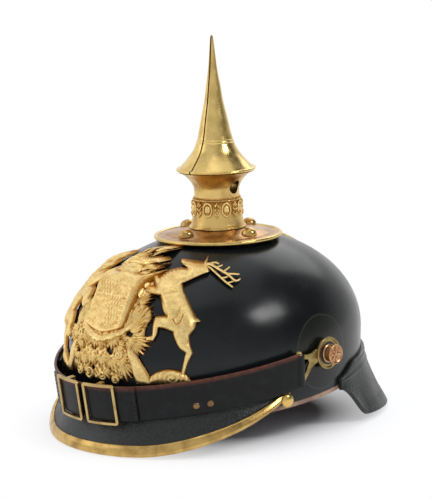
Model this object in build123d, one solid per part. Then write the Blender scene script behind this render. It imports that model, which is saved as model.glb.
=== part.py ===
from build123d import *
import math
import os

# A spiked leather parade helmet with its chin strap laid over the front visor.
# Millimetres. It stands on z = 0, the spike's axis is x = y = 0 and the front faces -Y.
# Azimuths are degrees from the front, towards the wearer's left, which is +X.

# Fits and cutting tools
seat_gap = 0.05
leather_gap = 0.2
cut_overrun = 20.0
quarter_turn = 90.0

# Leather skull: an oval wall under an elliptical crown that leans back as it goes down
skull_half_width = 91.0
skull_half_length = 107.5
skull_wall_top = 57.4
skull_crown_height = 129.0
skull_lean_share = 0.065
skull_thickness = 3.0
skull_edge_height = 28.0
skull_edge_rise_share = 0.06
crown_hole_radius = 11.0
visor_section_count = 19
guard_section_count = 21

# Front visor and neck guard: leather skirts sewn round the skull's lower edge
skirt_thickness = 2.4
visor_seam_width = 9.0
visor_half_angle = 74.0
visor_reach = 14.5
visor_end_reach = 2.6
visor_rim_lift = 0.75
visor_fall = 52.0
visor_fall_start = 3.5
visor_fall_blend = 3.0
visor_foot_share = 0.4
guard_seam_width = 11.0
guard_seam_end_width = 4.5
guard_half_angle = 76.0
guard_reach = 21.0
guard_end_reach = 3.0
guard_front_height = 6.5
guard_corner_drop = 2.0
guard_corner_angle = 15.0
skirt_foot_width = 0.6
guard_gap = 0.15

# Brass trim folded over the visor's rim, with a domed stud at each end
trim_wall = 0.9
trim_depth = 6.3
trim_end_depth = 3.4
trim_lip = 1.2
trim_half_angle = 72.5
trim_stud_angle = 70.0
trim_stud_lift = 2.0
trim_stud_height = skull_edge_height + trim_stud_lift
trim_stud_radius = 4.5
trim_stud_rise = 2.2
trim_shank_radius = 1.2

# Sweatband, liner and drawstring inside the skull
sweatband_thickness = 1.5
sweatband_height = 17.0
lip_drop = 3.3
lip_setback = 0.3
liner_thickness = 1.2
liner_foot_lift = 7.0
liner_foot_height = skull_edge_height + liner_foot_lift
liner_wall_height = 5.0
liner_wall_top = liner_foot_height + liner_wall_height
liner_crown_drop = 31.0
liner_crown_height = skull_crown_height - liner_crown_drop
liner_opening_radius = 24.0
tongue_count = 8
tongue_gap_angle = 9.0
tongue_band_height = 13.0
tongue_root_height = liner_foot_height + tongue_band_height
drawstring_radius = 0.9

# Brass base disc under the neck
disc_radius = 42.4
disc_bead_radius = 1.35
disc_bead_drop = 3.1
disc_bead_height = skull_crown_height - disc_bead_drop
disc_thickness = 0.9
disc_inner_radius = 13.0
disc_rise = 6.1
pad_inner_radius = 14.0
pad_outer_radius = 34.0
base_stud_count = 4
base_stud_ring_radius = 30.0
base_stud_radius = 5.2
base_stud_rise = 3.0
base_shank_radius = 1.6
base_washer_radius = 5.0
base_washer_thickness = 0.8
base_shank_end_radius = 2.8

# Brass neck with two round side vents, an ornament band and two beads
neck_wall = 1.0
neck_foot_radius = 19.5
neck_foot_rise = 5.6
neck_foot_height = disc_bead_height + neck_foot_rise
neck_bead_radius = 1.3
neck_bead_ring_radius = 16.7
neck_bead_step = 2.4
neck_bead_height = neck_foot_height + neck_bead_step
neck_band_step = 5.7
neck_band_low = neck_bead_height + neck_band_step
neck_band_width = 13.3
neck_band_high = neck_band_low + neck_band_width
neck_band_radius = 16.2
neck_band_thickness = 0.9
neck_waist_radius = 15.3
neck_throat_radius = 17.0
neck_bell_radius = 21.8
neck_flare_radius = 25.6
neck_flare_height = 16.9
neck_top_height = neck_band_high + neck_flare_height
neck_waist_share = 0.243
neck_throat_share = 0.521
neck_bell_share = 0.846
neck_vent_share = 0.385
neck_vent_height = neck_band_high + neck_vent_share * neck_flare_height
neck_vent_radius = 4.6
neck_vent_azimuth = 97.0
boss_count = 8
boss_half_height = 4.6
boss_half_width = 2.9
boss_rise = 1.1

# Threaded socket across the top of the neck and the stem that screws into it
socket_plate_thickness = 1.2
socket_plate_radius = 21.0
socket_boss_radius = 7.5
socket_depth = 6.0
stem_radius = 4.0
stem_fit = 0.05
stem_turns = 4
stem_pitch = 1.5

# Hollow spike with a rolled bead at its foot
spike_wall = 0.9
spike_length = 91.2
spike_tip_radius = 0.8
spike_bead_radius = 1.0
spike_bead_ring_radius = 26.0
spike_seat_gap = 0.3
spike_base_height = neck_top_height + spike_seat_gap
spike_tip_height = spike_base_height + spike_length
spike_base_thickness = 0.8
spike_base_drop = 0.6
spike_height_shares = (0.022, 0.089, 0.149, 0.209, 0.27, 0.39, 0.511, 0.632, 0.751, 0.872)
spike_radius_shares = (0.965, 0.746, 0.588, 0.496, 0.431, 0.342, 0.25, 0.185, 0.119, 0.077)
spike_hollow_top_share = 0.7

# Rear spine with a sliding vent cover
spine_half_width = 8.0
spine_thickness = 1.0
spine_gap = 0.15
spine_top_drop = 4.4
spine_top_height = skull_crown_height - spine_top_drop
spine_bottom_height = 4.0
spine_step_gap = 0.75
spine_step_height = 2.6
spine_upper_points = 8
spine_lower_points = 6
spine_search_steps = 200
spine_stud_height = 12.0
spine_stud_radius = 3.4
spine_stud_rise = 1.8
vent_slot_drop = 3.4
vent_slot_height = skull_wall_top - vent_slot_drop
vent_slot_half_height = 2.8
vent_slot_half_width = 2.2
vent_cover_half_width = 5.0
vent_cover_half_height = 4.0
vent_cover_thickness = 0.8
vent_cover_gap = 0.12
vent_rail_width = 1.0
vent_rail_lip = 0.9
vent_rail_half_length = 8.0
vent_knob_radius = 2.0
vent_knob_rise = 2.2
vent_travel = 7.0

# Side posts, rosettes, nuts and washers
post_radius = 3.0
post_y = 5.0
post_drop = 2.2
post_height = skull_wall_top - post_drop
post_collar_radius = 6.0
post_washer_radius = 6.0
post_washer_thickness = 0.6
post_nut_radius = 4.8
post_nut_thickness = 1.7
rosette_radius = 6.3
rosette_depth = 7.5
rosette_petals = 8
rosette_petal_depth = 0.9

# Strap hangers
hanger_thickness = 1.4
hanger_standoff = 3.7
hanger_plane_x = skull_half_width + hanger_standoff
hanger_ring_radius = 9.6
hanger_fit = 0.06
hanger_neck_height = 8.0
hanger_frame_y = -13.4
hanger_frame_height = 25.0
hanger_bar_width = 3.2
hanger_slot_width = 4.2
hanger_slot_height = 21.0
hanger_drop = 6.2

# Leather chin strap, laid round the front in a plane that dips forwards
strap_width = 23.0
strap_hanger_width = 20.0
strap_thickness = 1.8
strap_front_reach = 16.8
strap_front_y = -skull_half_length - strap_front_reach
strap_front_radius = 79.5
strap_side_reach = 7.0
strap_half_span = skull_half_width + strap_side_reach
strap_side_y = -6.0
strap_axis_drop = 3.7
strap_axis_height = post_height - strap_axis_drop
strap_dip_share = 0.142
strap_end_y = -19.5
lap_angle = 47.0
lap_width = 17.0
lap_gap = 0.05
rivet_radius = 1.2
rivet_head_radius = 2.2
rivet_head_rise = 0.6
rivet_drop = 5.5
rivet_angles = (50.0, 54.0)
tab_thickness = 1.6
tab_gap = 0.15
tab_start_gap_angle = 0.5
tab_end_angle = 29.0

# Buckles, one each side of the front centre
buckle_start_angle = 1.5
buckle_length = 25.0
buckle_wire = 1.7
buckle_gap = 0.15
buckle_side_gap = 0.35
buckle_lug_length = 4.0
buckle_bar_thickness = 1.3

# Front plate: a pierced brass pressing bent round the dome
plate_gap = 0.5
plate_thickness = 1.3
plate_relief = 1.2
plate_prism_depth = 90.0
shield_half_width = 20.5
shield_drop = 24.9
shield_height = 26.0
shield_top_height = disc_bead_height - shield_drop
shield_tip_height = shield_top_height - shield_height
shield_rim = 2.2
shield_bulge_share = 0.75
lug_radius = 1.8
lug_x = 11.0
lug_drop = 9.0
lug_height = shield_top_height - lug_drop
lug_length = 8.0
lug_nut_radius = 4.2
lug_nut_thickness = 2.0
supporter_foot_drop = 5.8
supporter_foot_height = skull_wall_top - supporter_foot_drop
supporter_rise = 19.3
supporter_height = shield_top_height + supporter_rise - supporter_foot_height
supporter_turn_share = 1.1016
supporter_slope = supporter_turn_share * skull_half_width / skull_half_length
supporter_azimuth = math.degrees(math.atan(supporter_slope))

# The stag in shares of the supporter's height, across from its own azimuth and up from its hoof
stag_shares = (
    ((-0.314, 0.946), (-0.322, 0.974), (-0.293, 0.98), (-0.183, 0.969), (-0.099, 0.956)),
    ((-0.099, 0.956), (-0.061, 1.0)),
    ((-0.061, 1.0), (-0.068, 0.943)),
    ((-0.068, 0.943), (0.0, 0.945)),
    ((0.0, 0.945), (0.07, 0.935), (0.076, 0.918)),
    ((0.076, 0.918), (0.035, 0.905)),
    ((0.035, 0.905), (0.08, 0.893), (0.134, 0.918)),
    ((0.134, 0.918), (0.148, 0.904)),
    ((0.148, 0.904), (0.1, 0.878)),
    ((0.1, 0.878), (0.17, 0.855), (0.236, 0.856)),
    ((0.236, 0.856), (0.237, 0.835)),
    ((0.237, 0.835), (0.182, 0.832)),
    ((0.182, 0.832), (0.248, 0.815)),
    ((0.248, 0.815), (0.248, 0.796)),
    ((0.248, 0.796), (0.135, 0.797)),
    ((0.135, 0.797), (0.184, 0.757)),
    ((0.184, 0.757), (0.168, 0.748)),
    ((0.168, 0.748), (0.1, 0.79), (0.035, 0.85), (-0.032, 0.895)),
    ((-0.032, 0.895), (-0.042, 0.882)),
    ((-0.042, 0.882), (-0.118, 0.862), (-0.213, 0.828), (-0.29, 0.8)),
    ((-0.29, 0.8), (-0.278, 0.747), (-0.227, 0.648), (-0.159, 0.528)),
    ((-0.159, 0.528), (-0.116, 0.49)),
    ((-0.116, 0.49), (-0.154, 0.48)),
    ((-0.154, 0.48), (-0.169, 0.429), (-0.217, 0.37)),
    ((-0.217, 0.37), (-0.218, 0.316), (-0.192, 0.214)),
    ((-0.192, 0.214), (-0.24, 0.116), (-0.272, 0.009)),
    ((-0.272, 0.009), (-0.313, 0.0)),
    ((-0.313, 0.0), (-0.307, 0.051)),
    ((-0.307, 0.051), (-0.287, 0.132), (-0.266, 0.218)),
    ((-0.266, 0.218), (-0.323, 0.263), (-0.37, 0.354), (-0.383, 0.403)),
    ((-0.383, 0.403), (-0.445, 0.425), (-0.511, 0.44)),
    ((-0.511, 0.44), (-0.528, 0.38), (-0.565, 0.323)),
    ((-0.565, 0.323), (-0.64, 0.327)),
    ((-0.64, 0.327), (-0.64, 0.358)),
    ((-0.64, 0.358), (-0.579, 0.374)),
    ((-0.579, 0.374), (-0.571, 0.466), (-0.549, 0.534)),
    ((-0.549, 0.534), (-0.495, 0.54), (-0.448, 0.543)),
    ((-0.448, 0.543), (-0.479, 0.591), (-0.498, 0.668), (-0.508, 0.7)),
    ((-0.508, 0.7), (-0.585, 0.715), (-0.642, 0.728)),
    ((-0.642, 0.728), (-0.671, 0.642)),
    ((-0.671, 0.642), (-0.691, 0.654)),
    ((-0.691, 0.654), (-0.688, 0.725), (-0.654, 0.773), (-0.563, 0.786)),
    ((-0.563, 0.786), (-0.598, 0.853), (-0.619, 0.916)),
    ((-0.619, 0.916), (-0.633, 0.942)),
    ((-0.633, 0.942), (-0.575, 0.939)),
    ((-0.575, 0.939), (-0.552, 0.898), (-0.52, 0.854)),
    ((-0.52, 0.854), (-0.434, 0.897), (-0.355, 0.916), (-0.262, 0.92)),
    ((-0.262, 0.92), (-0.314, 0.946)),
)

# The lion on the other side, in the same shares
lion_shares = (
    ((-0.3, 0.83), (-0.305, 0.875), (-0.27, 0.91)),
    ((-0.27, 0.91), (-0.26, 0.97), (-0.19, 0.99), (-0.11, 0.96), (-0.07, 0.88)),
    ((-0.07, 0.88), (-0.02, 0.8), (-0.05, 0.7)),
    ((-0.05, 0.7), (-0.03, 0.62), (-0.06, 0.53), (-0.03, 0.47)),
    ((-0.03, 0.47), (0.06, 0.5), (0.1, 0.6), (0.07, 0.7)),
    ((0.07, 0.7), (0.02, 0.77), (0.05, 0.84), (0.12, 0.87)),
    ((0.12, 0.87), (0.17, 0.83), (0.2, 0.76), (0.15, 0.72)),
    ((0.15, 0.72), (0.19, 0.6), (0.15, 0.47), (0.04, 0.41)),
    ((0.04, 0.41), (-0.03, 0.39), (-0.06, 0.34)),
    ((-0.06, 0.34), (-0.03, 0.27), (-0.07, 0.19)),
    ((-0.07, 0.19), (-0.14, 0.12), (-0.15, 0.06), (-0.12, 0.0)),
    ((-0.12, 0.0), (-0.28, 0.0)),
    ((-0.28, 0.0), (-0.27, 0.05), (-0.22, 0.08)),
    ((-0.22, 0.08), (-0.2, 0.16), (-0.17, 0.22)),
    ((-0.17, 0.22), (-0.24, 0.26), (-0.31, 0.33)),
    ((-0.31, 0.33), (-0.39, 0.33), (-0.46, 0.3)),
    ((-0.46, 0.3), (-0.5, 0.22), (-0.58, 0.22)),
    ((-0.58, 0.22), (-0.62, 0.27), (-0.56, 0.31)),
    ((-0.56, 0.31), (-0.52, 0.38), (-0.45, 0.43), (-0.36, 0.45)),
    ((-0.36, 0.45), (-0.37, 0.52), (-0.39, 0.57)),
    ((-0.39, 0.57), (-0.47, 0.57), (-0.55, 0.53)),
    ((-0.55, 0.53), (-0.62, 0.52), (-0.64, 0.58), (-0.58, 0.61)),
    ((-0.58, 0.61), (-0.5, 0.67), (-0.41, 0.69)),
    ((-0.41, 0.69), (-0.47, 0.75), (-0.55, 0.79)),
    ((-0.55, 0.79), (-0.58, 0.85), (-0.51, 0.88)),
    ((-0.51, 0.88), (-0.43, 0.85), (-0.36, 0.8)),
    ((-0.36, 0.8), (-0.3, 0.83)),
)

# Half of the helm, mantling and plumes above the shield, in shares of the shield's half width
crest_shares = (
    ((0.0, 0.0), (0.62, 0.0)),
    ((0.62, 0.0), (0.98, 0.1), (0.9, 0.36)),
    ((0.9, 0.36), (0.72, 0.5), (0.86, 0.66), (0.6, 0.75)),
    ((0.6, 0.75), (0.72, 0.86), (0.94, 0.96), (1.0, 1.04)),
    ((1.0, 1.04), (0.68, 1.06), (0.36, 0.96), (0.26, 0.82)),
    ((0.26, 0.82), (0.12, 0.74), (0.0, 0.76)),
    ((0.0, 0.76), (0.0, 0.0)),
)
crest_shift = -2.5

# Half of the foliage and scroll under the shield, in shares of the supporter's height
foliage_shares = (
    ((0.0, -0.09), (0.1, -0.075), (0.18, -0.04)),
    ((0.18, -0.04), (0.25, -0.08), (0.33, 0.0)),
    ((0.33, 0.0), (0.4, -0.03), (0.42, -0.095)),
    ((0.42, -0.095), (0.5, -0.1), (0.62, -0.09)),
    ((0.62, -0.09), (0.6, -0.05)),
    ((0.6, -0.05), (0.5, 0.13), (0.42, 0.3)),
    ((0.42, 0.3), (0.46, 0.32)),
    ((0.46, 0.32), (0.53, 0.25), (0.59, 0.22)),
    ((0.59, 0.22), (0.55, 0.27), (0.58, 0.32)),
    ((0.58, 0.32), (0.53, 0.34), (0.54, 0.39)),
    ((0.54, 0.39), (0.5, 0.44), (0.53, 0.52)),
    ((0.53, 0.52), (0.46, 0.55), (0.46, 0.61)),
    ((0.46, 0.61), (0.4, 0.6), (0.33, 0.68)),
    ((0.33, 0.68), (0.22, 0.6), (0.0, 0.5)),
    ((0.0, 0.5), (0.0, -0.09)),
)
piercing_shares = ((0.05, 0.225, 0.03), (0.19, 0.25, 0.034), (0.17, 0.02, 0.026), (0.33, 0.38, 0.03))
mound_centre_share = -0.42
mound_foot_share = -0.075
mound_half_width_share = 0.21
mound_height_share = 0.13


def skull_centre_y(height):
    """The oval's centre line leans back as it goes down from the crown."""
    return -skull_lean_share * (skull_crown_height - height)


def edge_height_at(y):
    """Height of the skull's lower edge, which rises a little to the rear."""
    return skull_edge_height + skull_edge_rise_share * y


def crown_share(height, grow):
    """Share of the full oval that is left at a height, 1 along the upright wall."""
    rise = max(height - skull_wall_top, 0) / (skull_crown_height - skull_wall_top + grow)
    return math.sqrt(max(1 - rise**2, 0))


def skull_y(x, height, grow, side):
    """Where the grown skull's surface lies at x and a height; side is -1 in front and 1 behind."""
    share = crown_share(height, grow)
    across = x / ((skull_half_width + grow) * share)
    depth = (skull_half_length + grow) * share * math.sqrt(1 - across**2)
    return skull_centre_y(height) + side * depth


def skull_x(y, height, grow):
    """Half width of the grown skull at y and a height."""
    share = crown_share(height, grow)
    along = (y - skull_centre_y(height)) / ((skull_half_length + grow) * share)
    return (skull_half_width + grow) * share * math.sqrt(1 - along**2)


def skull_radius(azimuth, height):
    """Distance from the spike's axis to the upright wall along an azimuth."""
    turn = math.radians(azimuth)
    across = math.sin(turn) / skull_half_width
    along = math.cos(turn) / skull_half_length
    middle = skull_centre_y(height) / skull_half_length
    square = across**2 + along**2
    return (math.sqrt((along * middle) ** 2 - square * (middle**2 - 1)) - along * middle) / square


def oval_dome(half_width, half_length, wall_top, crown, foot):
    """A solid oval dome: a revolved elliptical profile, stretched to the oval and leaned."""
    floor = Line((0, foot), (half_width, foot))
    wall = Line((half_width, foot), (half_width, wall_top))
    shoulder = EllipticalCenterArc((0, wall_top), half_width, crown - wall_top, arc_size=quarter_turn)
    axis = Line((0, crown), (0, foot))
    profile = make_face([floor, wall, shoulder, axis])
    body = revolve(Plane.XZ * profile, Axis.Z).solid()
    stretch = half_length / half_width
    shift = -skull_lean_share * skull_crown_height
    rows = [[1, 0, 0, 0], [0, stretch, skull_lean_share, shift], [0, 0, 1, 0]]
    return body.transform_geometry(Matrix(rows))


def skull_dome(grow):
    """The skull's outer form grown by a distance, solid down to below the rest plane."""
    return oval_dome(
        skull_half_width + grow,
        skull_half_length + grow,
        skull_wall_top,
        skull_crown_height + grow,
        -cut_overrun,
    )


def below_edge(offset):
    """Everything under the skull's lower edge, moved up by offset."""
    reach = 4 * skull_half_length
    block = Box(reach, reach, reach, align=(Align.CENTER, Align.CENTER, Align.MAX))
    tilt = math.degrees(math.atan(skull_edge_rise_share))
    return Pos(0, 0, skull_edge_height + offset) * Rot(tilt, 0, 0) * block


def upright_plane(azimuth):
    """The upright plane through the spike's axis: local x is outwards and local y is up."""
    turn = math.radians(azimuth)
    outward = (math.sin(turn), -math.cos(turn), 0)
    return Plane(origin=(0, 0, 0), x_dir=outward, z_dir=(-math.cos(turn), -math.sin(turn), 0))


def smooth_share(value):
    """A smooth step from 0 to 1."""
    held = min(max(value, 0), 1)
    return held * held * (3 - 2 * held)


def visor_line(azimuth):
    """Inner line of the visor at an azimuth: seam top, seam foot and rim, as radius and height."""
    turn = math.radians(azimuth)
    wall_radius = skull_radius(azimuth, skull_edge_height)
    edge = edge_height_at(-wall_radius * math.cos(turn))
    fall = visor_fall * (1 - math.cos(turn)) - visor_fall_start
    flat = (math.hypot(visor_fall_start, visor_fall_blend) - visor_fall_start) / 2
    rim = (fall + math.hypot(fall, visor_fall_blend)) / 2 - flat
    share = abs(azimuth) / visor_half_angle
    reach = visor_end_reach + (visor_reach - visor_end_reach) * (1 - share**4)
    rim += visor_rim_lift * (1 - share**4)
    top = edge + visor_seam_width
    foot = max(edge + skirt_foot_width, rim + (top - rim) * visor_foot_share)
    top_radius = skull_radius(azimuth, top) + seat_gap
    foot_radius = skull_radius(azimuth, foot) + seat_gap
    return (top_radius, top), (foot_radius, foot), (wall_radius + reach - skirt_thickness, rim)


def guard_line(azimuth):
    """Inner line of the neck guard at an azimuth, as radius and height."""
    turn = math.radians(azimuth)
    wall_radius = skull_radius(azimuth, skull_edge_height)
    y = -wall_radius * math.cos(turn)
    edge = edge_height_at(y)
    behind = 180 - abs(azimuth)
    corner = smooth_share((behind - guard_half_angle + guard_corner_angle) / guard_corner_angle)
    level = guard_front_height * (1 - smooth_share(y / skull_half_length))
    rim = level + (skull_edge_height - guard_corner_drop - level) * corner
    share = behind / guard_half_angle
    reach = guard_end_reach + (guard_reach - guard_end_reach) * (1 - share**3)
    seam = guard_seam_width + (guard_seam_end_width - guard_seam_width) * corner
    top = edge + seam
    foot = edge + skirt_foot_width
    top_radius = skull_radius(azimuth, top) + guard_gap
    foot_radius = skull_radius(azimuth, foot) + guard_gap
    return (top_radius, top), (foot_radius, foot), (wall_radius + reach - skirt_thickness, rim)


def shifted_line(line, distance):
    """The same three points moved outwards, square to the leather."""
    (top_r, top_z), (foot_r, foot_z), (rim_r, rim_z) = line
    length = math.hypot(rim_r - foot_r, rim_z - foot_z)
    normal_r = (foot_z - rim_z) / length
    normal_z = (rim_r - foot_r) / length
    mitre = distance / (1 + normal_r)
    foot = (foot_r + mitre * (1 + normal_r), foot_z + mitre * normal_z)
    rim = (rim_r + distance * normal_r, rim_z + distance * normal_z)
    return (top_r + distance, top_z), foot, rim


def skirt_section(azimuth, line):
    """Cross-section of a leather skirt between its inner and outer faces."""
    inner = line
    outer = shifted_line(line, skirt_thickness)
    edges = [
        Bezier(inner[0], inner[1], inner[2]),
        Line(inner[2], outer[2]),
        Bezier(outer[2], outer[1], outer[0]),
        Line(outer[0], inner[0]),
    ]
    return upright_plane(azimuth) * make_face(edges)


def spread(low, high, count):
    """Evenly spaced values from low to high."""
    return [low + (high - low) * step / (count - 1) for step in range(count)]


def make_visor():
    """The front visor, shaped through upright sections just clear of the skull."""
    azimuths = spread(-visor_half_angle, visor_half_angle, visor_section_count)
    return loft([skirt_section(azimuth, visor_line(azimuth)) for azimuth in azimuths])


def make_neck_guard():
    """The neck guard, shaped the same way round the back."""
    azimuths = spread(180 - guard_half_angle, 180 + guard_half_angle, guard_section_count)
    sections = []
    for azimuth in azimuths:
        mirrored = azimuth if azimuth <= 180 else azimuth - 360
        sections.append(skirt_section(azimuth, guard_line(mirrored)))
    return loft(sections)


def trim_section(azimuth):
    """Rounded cross-section round the visor's rim, before the leather is taken out."""
    inner = visor_line(azimuth)
    middle = shifted_line(inner, skirt_thickness / 2)
    (foot_r, foot_z), (rim_r, rim_z) = middle[1], middle[2]
    length = math.hypot(rim_r - foot_r, rim_z - foot_z)
    along = ((rim_r - foot_r) / length, (rim_z - foot_z) / length)
    normal = (-along[1], along[0])
    half = skirt_thickness / 2 + trim_wall
    depth = trim_depth - (trim_depth - trim_end_depth) * (abs(azimuth) / trim_half_angle) ** 4

    def place(forward, sideways):
        return (
            rim_r + along[0] * forward + normal[0] * sideways,
            rim_z + along[1] * forward + normal[1] * sideways,
        )

    start = trim_lip - half
    edges = [
        Line(place(-depth, half), place(start, half)),
        ThreePointArc(place(start, half), place(trim_lip, 0), place(start, -half)),
        Line(place(start, -half), place(-depth, -half)),
        Line(place(-depth, -half), place(-depth, half)),
    ]
    return upright_plane(azimuth) * make_face(edges)


def make_trim(visor):
    """The U-shaped brass trim that holds the visor's rim."""
    azimuths = spread(-trim_half_angle, trim_half_angle, visor_section_count)
    return loft([trim_section(azimuth) for azimuth in azimuths]) - visor - skull_dome(seat_gap)


def surface_plane(x, y, height, grow):
    """A plane on the grown skull with its normal pointing straight out of it."""
    rise = max(height - skull_wall_top, 0) / (skull_crown_height - skull_wall_top + grow) ** 2
    normal_x = x / (skull_half_width + grow) ** 2
    normal_y = (y - skull_centre_y(height)) / (skull_half_length + grow) ** 2
    return Plane(origin=(x, y, height), z_dir=(normal_x, normal_y, rise - skull_lean_share * normal_y))


def domed_head(radius, rise):
    """A low dome of a stud or rivet, flat side at z = 0."""
    ball = (radius**2 + rise**2) / (2 * rise)
    cap = Pos(0, 0, rise - ball) * Sphere(ball)
    return cap & Cylinder(radius, rise, align=(Align.CENTER, Align.CENTER, Align.MIN))


def trim_stud_standoff():
    """Distance from the skull to the underside of a trim stud's head."""
    return skirt_thickness + 2 * trim_wall + trim_lip + 2 * leather_gap


def trim_stud_place(side):
    """Plane on the skin of the trim where the stud of one side sits."""
    turn = math.radians(side * trim_stud_angle)
    radius = skull_radius(side * trim_stud_angle, trim_stud_height)
    plane = surface_plane(radius * math.sin(turn), -radius * math.cos(turn), trim_stud_height, 0)
    return plane.offset(trim_stud_standoff())


def make_trim_studs():
    """Domed studs at the trim's ends, with shanks into the skull's wall."""
    depth = trim_stud_standoff() + skull_thickness - trim_wall
    studs = []
    for side in (-1, 1):
        head = domed_head(trim_stud_radius, trim_stud_rise)
        shank = Cylinder(trim_shank_radius, depth, align=(Align.CENTER, Align.CENTER, Align.MAX))
        studs.append((trim_stud_place(side) * (head + shank)).solid())
    return studs


def trim_stud_holes():
    """Holes for the trim studs' shanks."""
    depth = trim_stud_standoff() + skull_thickness - trim_wall + seat_gap
    radius = trim_shank_radius + seat_gap
    hole = Cylinder(radius, depth, align=(Align.CENTER, Align.CENTER, Align.MAX))
    return [trim_stud_place(side) * hole for side in (-1, 1)]


def disc_under_height(radius):
    """Height of the base disc's lower face, a shallow cone."""
    share = (disc_radius - radius) / (disc_radius - disc_inner_radius)
    return disc_bead_height - disc_thickness / 2 + disc_rise * share


def make_base_disc():
    """The round base disc with its rolled outer bead."""
    inner = disc_under_height(disc_inner_radius)
    outer = disc_under_height(disc_radius)
    profile = Polyline(
        (disc_inner_radius, inner),
        (disc_radius, outer),
        (disc_radius, outer + disc_thickness),
        (disc_inner_radius, inner + disc_thickness),
        close=True,
    )
    bead = Pos(disc_radius, disc_bead_height) * Circle(disc_bead_radius)
    section = make_face(profile) + bead
    disc = revolve(Plane.XZ * section, Axis.Z)
    for place in base_stud_places():
        disc -= place * Cylinder(base_shank_radius + seat_gap, cut_overrun)
    return disc


def make_base_pad():
    """The leather packing ring that fills the space between disc and skull."""
    ring = pad_outer_radius - pad_inner_radius
    inner = disc_under_height(pad_inner_radius) - seat_gap
    outer = disc_under_height(pad_outer_radius) - seat_gap
    profile = Polyline(
        (pad_inner_radius, inner),
        (pad_inner_radius, inner - ring),
        (pad_outer_radius, inner - ring),
        (pad_outer_radius, outer),
        close=True,
    )
    pad = revolve(Plane.XZ * make_face(profile), Axis.Z) - skull_dome(seat_gap)
    for place in base_stud_places():
        pad -= place * Cylinder(base_shank_radius + seat_gap, 2 * cut_overrun)
    return pad


def base_stud_places():
    """Planes on the disc's sloping face where the base studs sit, on the cross lines."""
    height = disc_under_height(base_stud_ring_radius) + disc_thickness
    slope = disc_rise / (disc_radius - disc_inner_radius)
    places = []
    for step in range(base_stud_count):
        turn = 2 * math.pi * step / base_stud_count
        x = math.cos(turn)
        y = math.sin(turn)
        origin = (base_stud_ring_radius * x, base_stud_ring_radius * y, height)
        places.append(Plane(origin=origin, z_dir=(slope * x, slope * y, 1)).offset(seat_gap))
    return places


def make_base_studs():
    """Domed studs through disc, pad and skull, peened over under their washers."""
    under_skull = -skull_thickness - seat_gap
    under_washer = under_skull - base_washer_thickness - seat_gap
    peened = skull_dome(under_washer)
    inside = skull_dome(under_washer - base_washer_thickness)
    reach = cut_overrun
    studs = []
    for place in base_stud_places():
        head = domed_head(base_stud_radius, base_stud_rise)
        shank = Cylinder(base_shank_radius, reach, align=(Align.CENTER, Align.CENTER, Align.MAX))
        end = Cylinder(base_shank_end_radius, reach, align=(Align.CENTER, Align.CENTER, Align.MAX))
        studs.append((place * (head + shank) + (peened & place * end) - inside).solid())
    return studs


def make_base_washers():
    """Round washers bent to the crown's inner face, under each stud."""
    shell = skull_dome(-skull_thickness - seat_gap)
    shell -= skull_dome(-skull_thickness - seat_gap - base_washer_thickness)
    washers = []
    for place in base_stud_places():
        round_piece = place * Cylinder(base_washer_radius, 2 * cut_overrun)
        hole = place * Cylinder(base_shank_radius + seat_gap, 2 * cut_overrun)
        washers.append((shell & round_piece - hole).solid())
    return washers


def neck_outline(inset):
    """Outer line of the neck from its foot to its flared top, moved in by inset."""
    stem = neck_band_radius - neck_band_thickness - inset
    foot = neck_foot_radius - inset
    step = neck_foot_height + neck_wall
    shoulder = neck_bead_height + neck_bead_radius
    return [
        Line((foot, neck_foot_height), (foot, step)),
        Line((foot, step), (stem, shoulder)),
        Line((stem, shoulder), (stem, neck_band_high)),
        Spline(
            (stem, neck_band_high),
            (neck_waist_radius - inset, neck_band_high + neck_waist_share * neck_flare_height),
            (neck_throat_radius - inset, neck_band_high + neck_throat_share * neck_flare_height),
            (neck_bell_radius - inset, neck_band_high + neck_bell_share * neck_flare_height),
            (neck_flare_radius - inset, neck_top_height),
            tangents=((0, 1), (1, 1)),
        ),
    ]


def make_neck():
    """The hollow neck with its foot bead and its two side vents."""
    outer = neck_outline(0)
    inner = neck_outline(neck_wall)
    floor = Line(outer[0] @ 0, inner[0] @ 0)
    roof = Line(outer[3] @ 1, inner[3] @ 1)
    section = make_face([*outer, roof, *inner, floor])
    bead = Pos(neck_bead_ring_radius, neck_bead_height) * Circle(neck_bead_radius)
    neck = revolve(Plane.XZ * (section + bead), Axis.Z)
    low = (Align.CENTER, Align.CENTER, Align.MIN)
    bore = Cylinder(neck_vent_radius, 2 * neck_foot_radius, align=low)
    for side in (-1, 1):
        turn = math.radians(side * neck_vent_azimuth)
        outward = (math.sin(turn), -math.cos(turn), 0)
        neck -= Plane(origin=(0, 0, neck_vent_height), z_dir=outward) * bore
    return neck


def make_neck_band():
    """The ornament band: a sleeve round the neck with oval bosses between two rims."""
    inner = neck_band_radius - neck_band_thickness + seat_gap
    low = (Align.CENTER, Align.CENTER, Align.MIN)
    sleeve = Cylinder(neck_band_radius, neck_band_width, align=low)
    rim = Cylinder(neck_band_radius + boss_rise / 2, neck_band_thickness, align=low)
    for level in (0, neck_band_width - neck_band_thickness):
        sleeve += Pos(0, 0, level) * rim
    across = [boss_rise, 0, 0, neck_band_radius]
    along = [0, boss_half_width, 0, 0]
    upward = [0, 0, boss_half_height, neck_band_width / 2]
    boss = Sphere(1).transform_geometry(Matrix([across, along, upward]))
    for step in range(boss_count):
        sleeve += Rot(0, 0, 360 * (step + 1 / 2) / boss_count) * boss
    return Pos(0, 0, neck_band_low) * (sleeve - Cylinder(inner, neck_band_width, align=low))


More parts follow.
